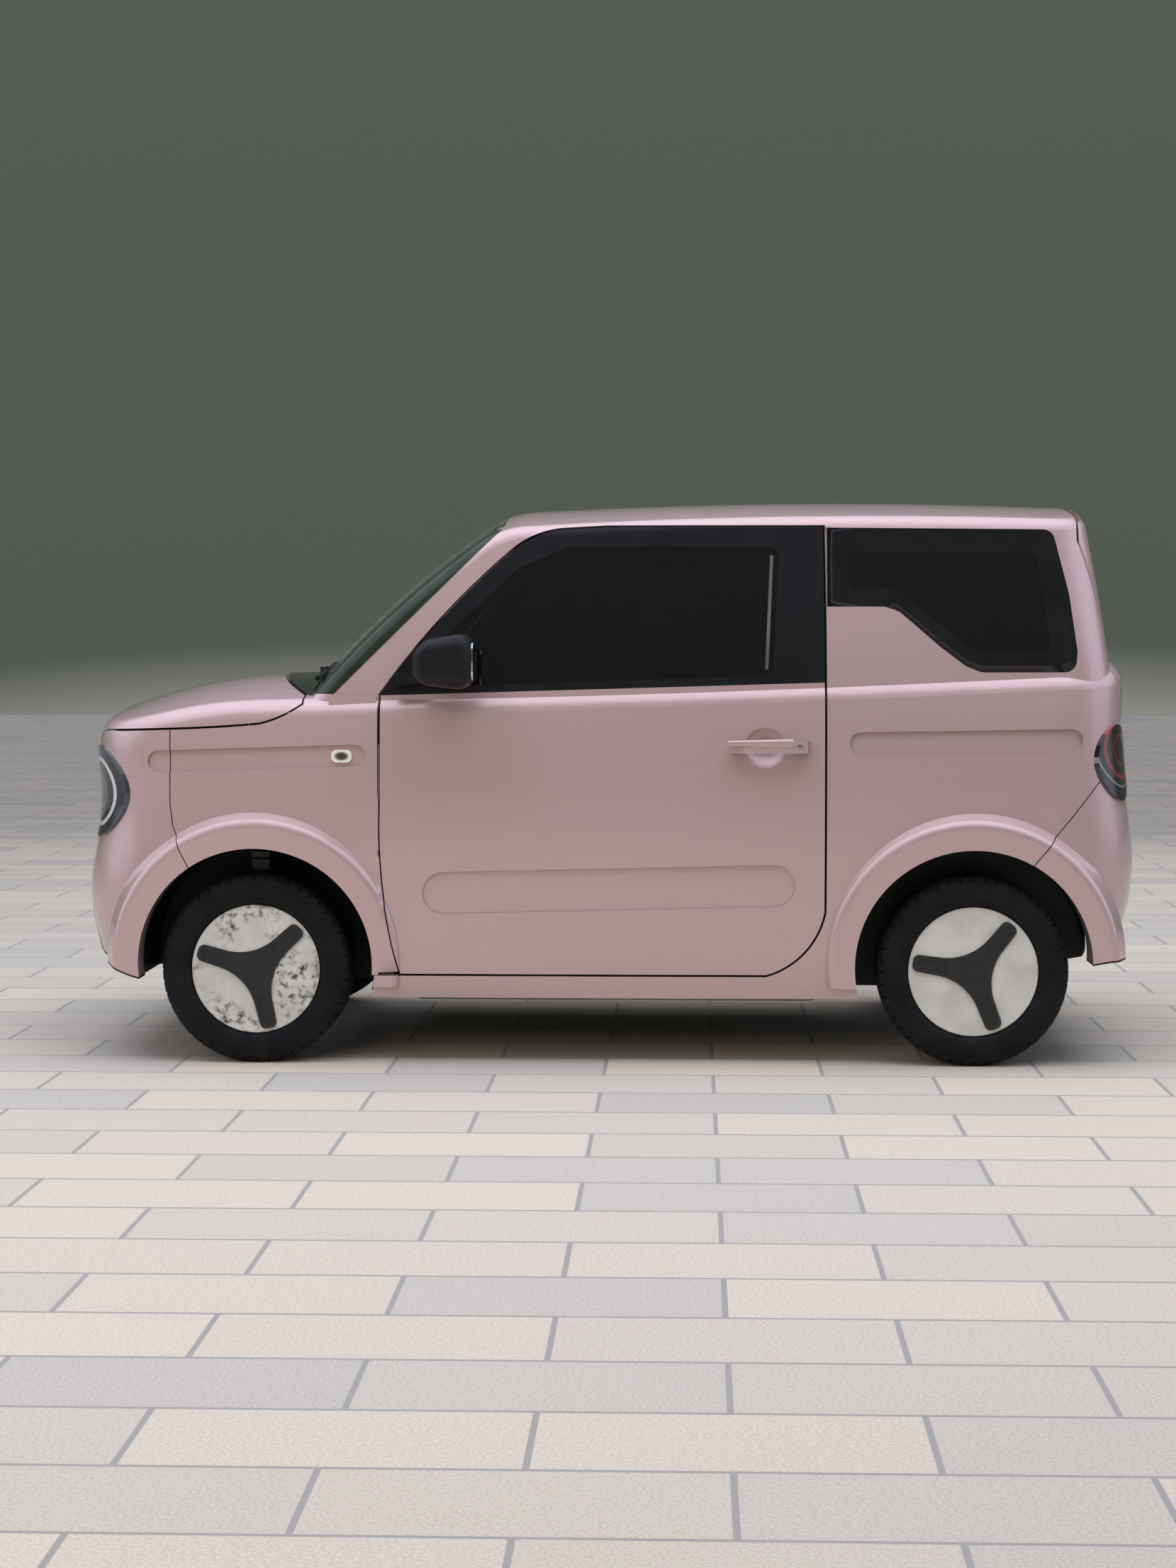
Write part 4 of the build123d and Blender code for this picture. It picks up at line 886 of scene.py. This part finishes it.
# Seats: padded cushions, backs and rests over plastic bases
pads = {
    "frontCushion": {"middle": (0.118, -0.32, 0.392), "size": (0.500, 0.462, 0.100), "lean": -3.0,
                     "thin": "z", "round": 0.034, "cap": 0.014, "voxel": 0.008, "replaces": ("front_seats",)},
    "frontBack": {"middle": (0.410, -0.32, 0.735), "size": (0.090, 0.455, 0.535), "lean": 8.5, "thin": "x",
                  "round": 0.032, "cap": 0.014, "voxel": 0.008, "replaces": ()},
    "frontRest": {"middle": (0.457, -0.32, 1.107), "size": (0.064, 0.235, 0.122), "lean": 7.0, "thin": "x",
                  "round": 0.026, "cap": 0.006, "voxel": 0.005, "replaces": ()},
    "benchCushion": {"middle": (0.775, 0.0, 0.487), "size": (0.400, 1.000, 0.085), "lean": -1.5,
                     "thin": "z", "round": 0.030, "cap": 0.012, "voxel": 0.009, "replaces": ("rear_seat",)},
    "benchBack": {"middle": (1.018, 0.0, 0.742), "size": (0.075, 1.000, 0.455), "lean": 8.5, "thin": "x",
                  "round": 0.028, "cap": 0.012, "voxel": 0.009, "replaces": ()},
    "benchRest": {"middle": (1.058, -0.26, 1.045), "size": (0.056, 0.205, 0.088), "lean": 4.0, "thin": "x",
                  "round": 0.022, "cap": 0.005, "voxel": 0.005, "replaces": ()}}
padding = {"segments": 5, "pressure": 4.0, "frames": 20, "smoothAngle": 60}
piping = {"radius": 0.0028, "wider": 1.2, "segments": 6, "cuts": 5, "straight": 0.0001, "sides": 2}


def makePad(name, look):
    pad = roundedBox(name, look["middle"], look["size"], look["lean"], look["round"], padding["segments"])
    pad.data.remesh_voxel_size = look["voxel"]
    bpy.ops.object.voxel_remesh()
    swell(pad, look["cap"])
    finer = pad.modifiers.new("finer", "SUBSURF")
    finer.levels = finer.render_levels = 1
    applyModifiers(pad)
    return pad


def swell(pad, cap):
    # blown up as sewn cloth, and no point moves further than the cap
    before = [vertex.co.copy() for vertex in pad.data.vertices]
    cloth = pad.modifiers.new("swell", "CLOTH")
    cloth.settings.use_pressure = True
    cloth.settings.uniform_pressure_force = padding["pressure"]
    cloth.settings.effector_weights.gravity = 0
    for frameNumber in range(1, padding["frames"] + 1):
        bpy.context.scene.frame_set(frameNumber)
    applyModifiers(pad)
    for vertex, start in zip(pad.data.vertices, before):
        move = vertex.co - start
        if move.length > cap:
            vertex.co = start + move * (cap / move.length)
    bpy.context.scene.frame_set(1)


def makePiping(name, pad, look):
    # a sewn cord round the pad's edge
    upright = look["thin"] == "x"
    turn = (0, math.radians(look["lean"] + (90 if upright else 0)), 0)
    length, width, height = look["size"]
    bpy.ops.mesh.primitive_plane_add(size=1, location=look["middle"], rotation=turn)
    cord = placePrimitive(name, (height if upright else length, width, 1))
    openEdit(cord, "VERT")
    bpy.ops.mesh.bevel(offset=look["round"] * piping["wider"], segments=piping["segments"], affect="VERTICES")
    selectAll()
    bpy.ops.mesh.subdivide(number_cuts=piping["cuts"])
    bpy.ops.mesh.dissolve_limited(angle_limit=piping["straight"], use_dissolve_boundaries=False)
    selectAll()
    bpy.ops.mesh.delete(type="ONLY_FACE")
    closeEdit()
    hug = cord.modifiers.new("hug", "SHRINKWRAP")
    hug.target = pad
    hug.wrap_method = "NEAREST_SURFACEPOINT"
    applyModifiers(cord)
    bpy.ops.object.convert(target="CURVE")
    cord.data.bevel_depth = piping["radius"]
    cord.data.bevel_resolution = piping["sides"]
    bpy.ops.object.convert(target="MESH")
    return bpy.context.object


def shiftedCopy(piece, name, shift):
    twin = linkPiece(name, piece.data.copy())
    twin.location = (0, shift, 0)
    applyPlace(twin)
    return twin


def finishPad(pad, replaced=()):
    finishPiece(pad, "body", seatCloth, replaced, padding["smoothAngle"])


for padName, look in pads.items():
    pad = makePad(padName, look)
    cord = makePiping(padName + "Piping", pad, look)
    if look["middle"][1]:
        toRight = -2 * look["middle"][1]
        finishPad(shiftedCopy(pad, padName + "Right", toRight))
        finishPiece(shiftedCopy(cord, padName + "PipingRight", toRight), "body", pipingCloth)
    finishPad(pad, look["replaces"])
    finishPiece(cord, "body", pipingCloth)
print("seat pads made")

# Seat bases, the shell behind each front back, and the rests' stems
seatBlocks = {
    "seatBaseLeft": {"middle": (0.125, -0.32, 0.290), "size": (0.480, 0.390, 0.108), "lean": 0.0,
                     "round": 0.020},
    "seatBaseRight": {"middle": (0.125, 0.32, 0.290), "size": (0.480, 0.390, 0.108), "lean": 0.0,
                      "round": 0.020},
    "backShellLeft": {"middle": (0.458, -0.32, 0.715), "size": (0.030, 0.420, 0.500), "lean": 8.5,
                      "round": 0.012},
    "backShellRight": {"middle": (0.458, 0.32, 0.715), "size": (0.030, 0.420, 0.500), "lean": 8.5,
                       "round": 0.012},
    "benchBase": {"middle": (0.790, 0.0, 0.4345), "size": (0.400, 0.960, 0.009), "lean": 0.0, "round": 0.003}}
blockSegments = 4
stems = {"radius": 0.006, "segments": 24,
         "rows": {"front": {"x": 0.452, "y": (-0.38, -0.26, 0.26, 0.38), "z": (0.990, 1.062)},
                  "bench": {"x": 1.058, "y": (-0.315, -0.205, 0.205, 0.315), "z": (0.955, 1.015)}}}

for blockName, look in seatBlocks.items():
    block = roundedBox(blockName, look["middle"], look["size"], look["lean"], look["round"], blockSegments)
    finishPiece(block, "body", cabinPlastic)
for rowName, row in stems["rows"].items():
    low, high = row["z"]
    for k, y in enumerate(row["y"]):
        bpy.ops.mesh.primitive_cylinder_add(vertices=stems["segments"], radius=stems["radius"],
                                            depth=high - low, location=(row["x"], y, (low + high) / 2))
        stem = placePrimitive(rowName + "Stem" + str(k + 1), (1, 1, 1))
        finishPiece(stem, "body", brushedSteel)
print("seat bases and stems made")

# Bumper lips: a black edge under the pink skins, front and rear
bumperLips = {"front_bumper": "frontLip", "rear_bumper": "rearLip"}
lipShape = {"top": 0.34, "drop": 0.006, "downward": -0.55, "lift": 0.001}


def bumperLip(nodeName, pieceName, look):
    lip = copyNode(nodeName, pieceName)
    selectFaces(lip, lambda middle, normal: not (normal[2] < look["downward"] and middle[2] < look["top"]))
    bpy.ops.mesh.delete(type="FACE")
    selectAll()
    bpy.ops.transform.translate(value=(0, 0, look["lift"]))
    extrudeBy((0, 0, -look["drop"]))
    selectAll()
    bpy.ops.mesh.normals_make_consistent(inside=False)
    closeEdit()
    return lip


for nodeName, pieceName in bumperLips.items():
    finishPiece(bumperLip(nodeName, pieceName, lipShape), "body", blackGrained)
print("bumper lips made")

# Floor, lights and camera
paving = {"size": 60.0, "middle": (0, 4, 0), "tile": (0.60, 0.30), "joint": 0.006, "jointEdge": 0.2,
          "stones": [(0.0, (0.38, 0.335, 0.285)), (0.5, (0.44, 0.375, 0.31)), (1.0, (0.34, 0.31, 0.28))],
          "jointTone": (0.22, 0.21, 0.20), "speckle": 160.0, "mix": (0.3, 0.7), "dark": (0.8, 0.8, 0.8),
          "pale": (1.1, 1.1, 1.1), "roughness": 0.85}
lamps = {"overhead": {"place": (0, -1.5, 6.5), "aim": (0, 0, 0.6), "size": (9.0, 5.0), "power": 680.0,
                      "colour": (0.82, 0.89, 1.0)},
         "frontFill": {"place": (-3.5, -8.0, 3.5), "aim": (0, 0, 0.8), "size": (6.0, 3.0), "power": 285.0,
                       "colour": (1.0, 0.93, 0.86)},
         "backRim": {"place": (1.0, 7.0, 4.5), "aim": (0, 0, 0.8), "size": (7.0, 3.0), "power": 180.0,
                     "colour": (0.95, 0.97, 1.0)}}
# bands: how high a direction looks, from 0 straight down to 1 straight up, and the sky's colour there
# openEnds: how far the sky comes down ahead of the car and behind it
sky = {"bands": [(0.0, (0.50, 0.47, 0.44)), (0.47, (0.50, 0.48, 0.46)), (0.50, (0.085, 0.10, 0.08)),
                 (0.78, (0.11, 0.125, 0.10)), (0.86, (0.72, 0.77, 0.92)), (0.93, (0.90, 0.97, 1.16)),
                 (1.0, (0.95, 1.03, 1.22))],
       "openEnds": 0.34, "endPower": 3.0, "strength": 1.0}
view = {"place": (0.2358, -8.4084, 1.1992), "yaw": 2.129, "pitch": 3.043, "focal": 3885.6,
        "photoHeight": 2212, "sensor": 36.0}


def floorMaterial(name, look):
    # stone paving: speckled slabs with narrow joints
    material, tree, shader = newMaterial(name)
    point = objectPoint(tree)
    bricks = tree.nodes.new("ShaderNodeTexBrick")
    setSockets(bricks, {"Scale": 1.0, "Brick Width": look["tile"][0], "Row Height": look["tile"][1],
                        "Mortar Size": look["joint"], "Mortar Smooth": look["jointEdge"],
                        "Color1": (0, 0, 0, 1), "Color2": (1, 1, 1, 1), "Mortar": (0.5, 0.5, 0.5, 1)})
    tree.links.new(point, bricks.inputs["Vector"])
    slabs = ramp(tree, bricks.outputs["Color"], look["stones"])
    speckle = twoTones(tree, noiseFactor(tree, point, look["speckle"], detail=3.0), look["mix"], look["dark"],
                       look["pale"])
    stone = blendColours(tree, 1.0, slabs, speckle, "MULTIPLY")
    tone = blendColours(tree, bricks.outputs["Fac"], stone, look["jointTone"])
    tree.links.new(tone, shader.inputs["Base Color"])
    setSockets(shader, {"Roughness": look["roughness"]})
    return material


def areaLight(name, look):
    bpy.ops.object.light_add(type="AREA", location=look["place"])
    lamp = bpy.context.object
    lamp.name = name
    lamp.data.shape = "RECTANGLE"
    lamp.data.size, lamp.data.size_y = look["size"]
    lamp.data.energy = look["power"]
    lamp.data.color = look["colour"]
    lamp.rotation_euler = (Vector(look["aim"]) - Vector(look["place"])).to_track_quat("-Z", "Y").to_euler()
    lamp.visible_glossy = False  # panes and paint mirror the sky alone


def skyWorld(name, look):
    world = bpy.data.worlds.new(name)
    bpy.context.scene.world = world
    world.use_nodes = True
    tree = world.node_tree
    background = next(node for node in tree.nodes if node.type == "BACKGROUND")
    coords = tree.nodes.new("ShaderNodeTexCoord")
    x, y, z = axes(tree, coords.outputs["Generated"])
    ends = calc(tree, "POWER", calc(tree, "ABSOLUTE", x), look["endPower"])
    height = calc(tree, "ADD", calc(tree, "ADD", calc(tree, "MULTIPLY", z, 0.5), 0.5),
                  calc(tree, "MULTIPLY", ends, look["openEnds"]))
    tree.links.new(ramp(tree, height, look["bands"]), background.inputs["Color"])
    setSockets(background, {"Strength": look["strength"]})


bpy.ops.mesh.primitive_plane_add(size=paving["size"], location=paving["middle"])
floorPlane = placePrimitive("studioFloor", (1, 1, 1))
floorPlane.data.materials.append(floorMaterial("studioFloor", paving))
for lampName, look in lamps.items():
    areaLight(lampName, look)
skyWorld("studioWorld", sky)

bpy.ops.object.camera_add(location=view["place"],
                          rotation=(math.radians(90 - view["pitch"]), 0, math.radians(view["yaw"])))
camera = bpy.context.object
camera.name = "photoCamera"
camera.data.sensor_fit = "VERTICAL"
camera.data.sensor_height = view["sensor"]
camera.data.lens = view["sensor"] * view["focal"] / view["photoHeight"]
bpy.context.scene.camera = camera
bpy.context.scene.view_settings.view_transform = "Standard"
print("studio and camera ready")
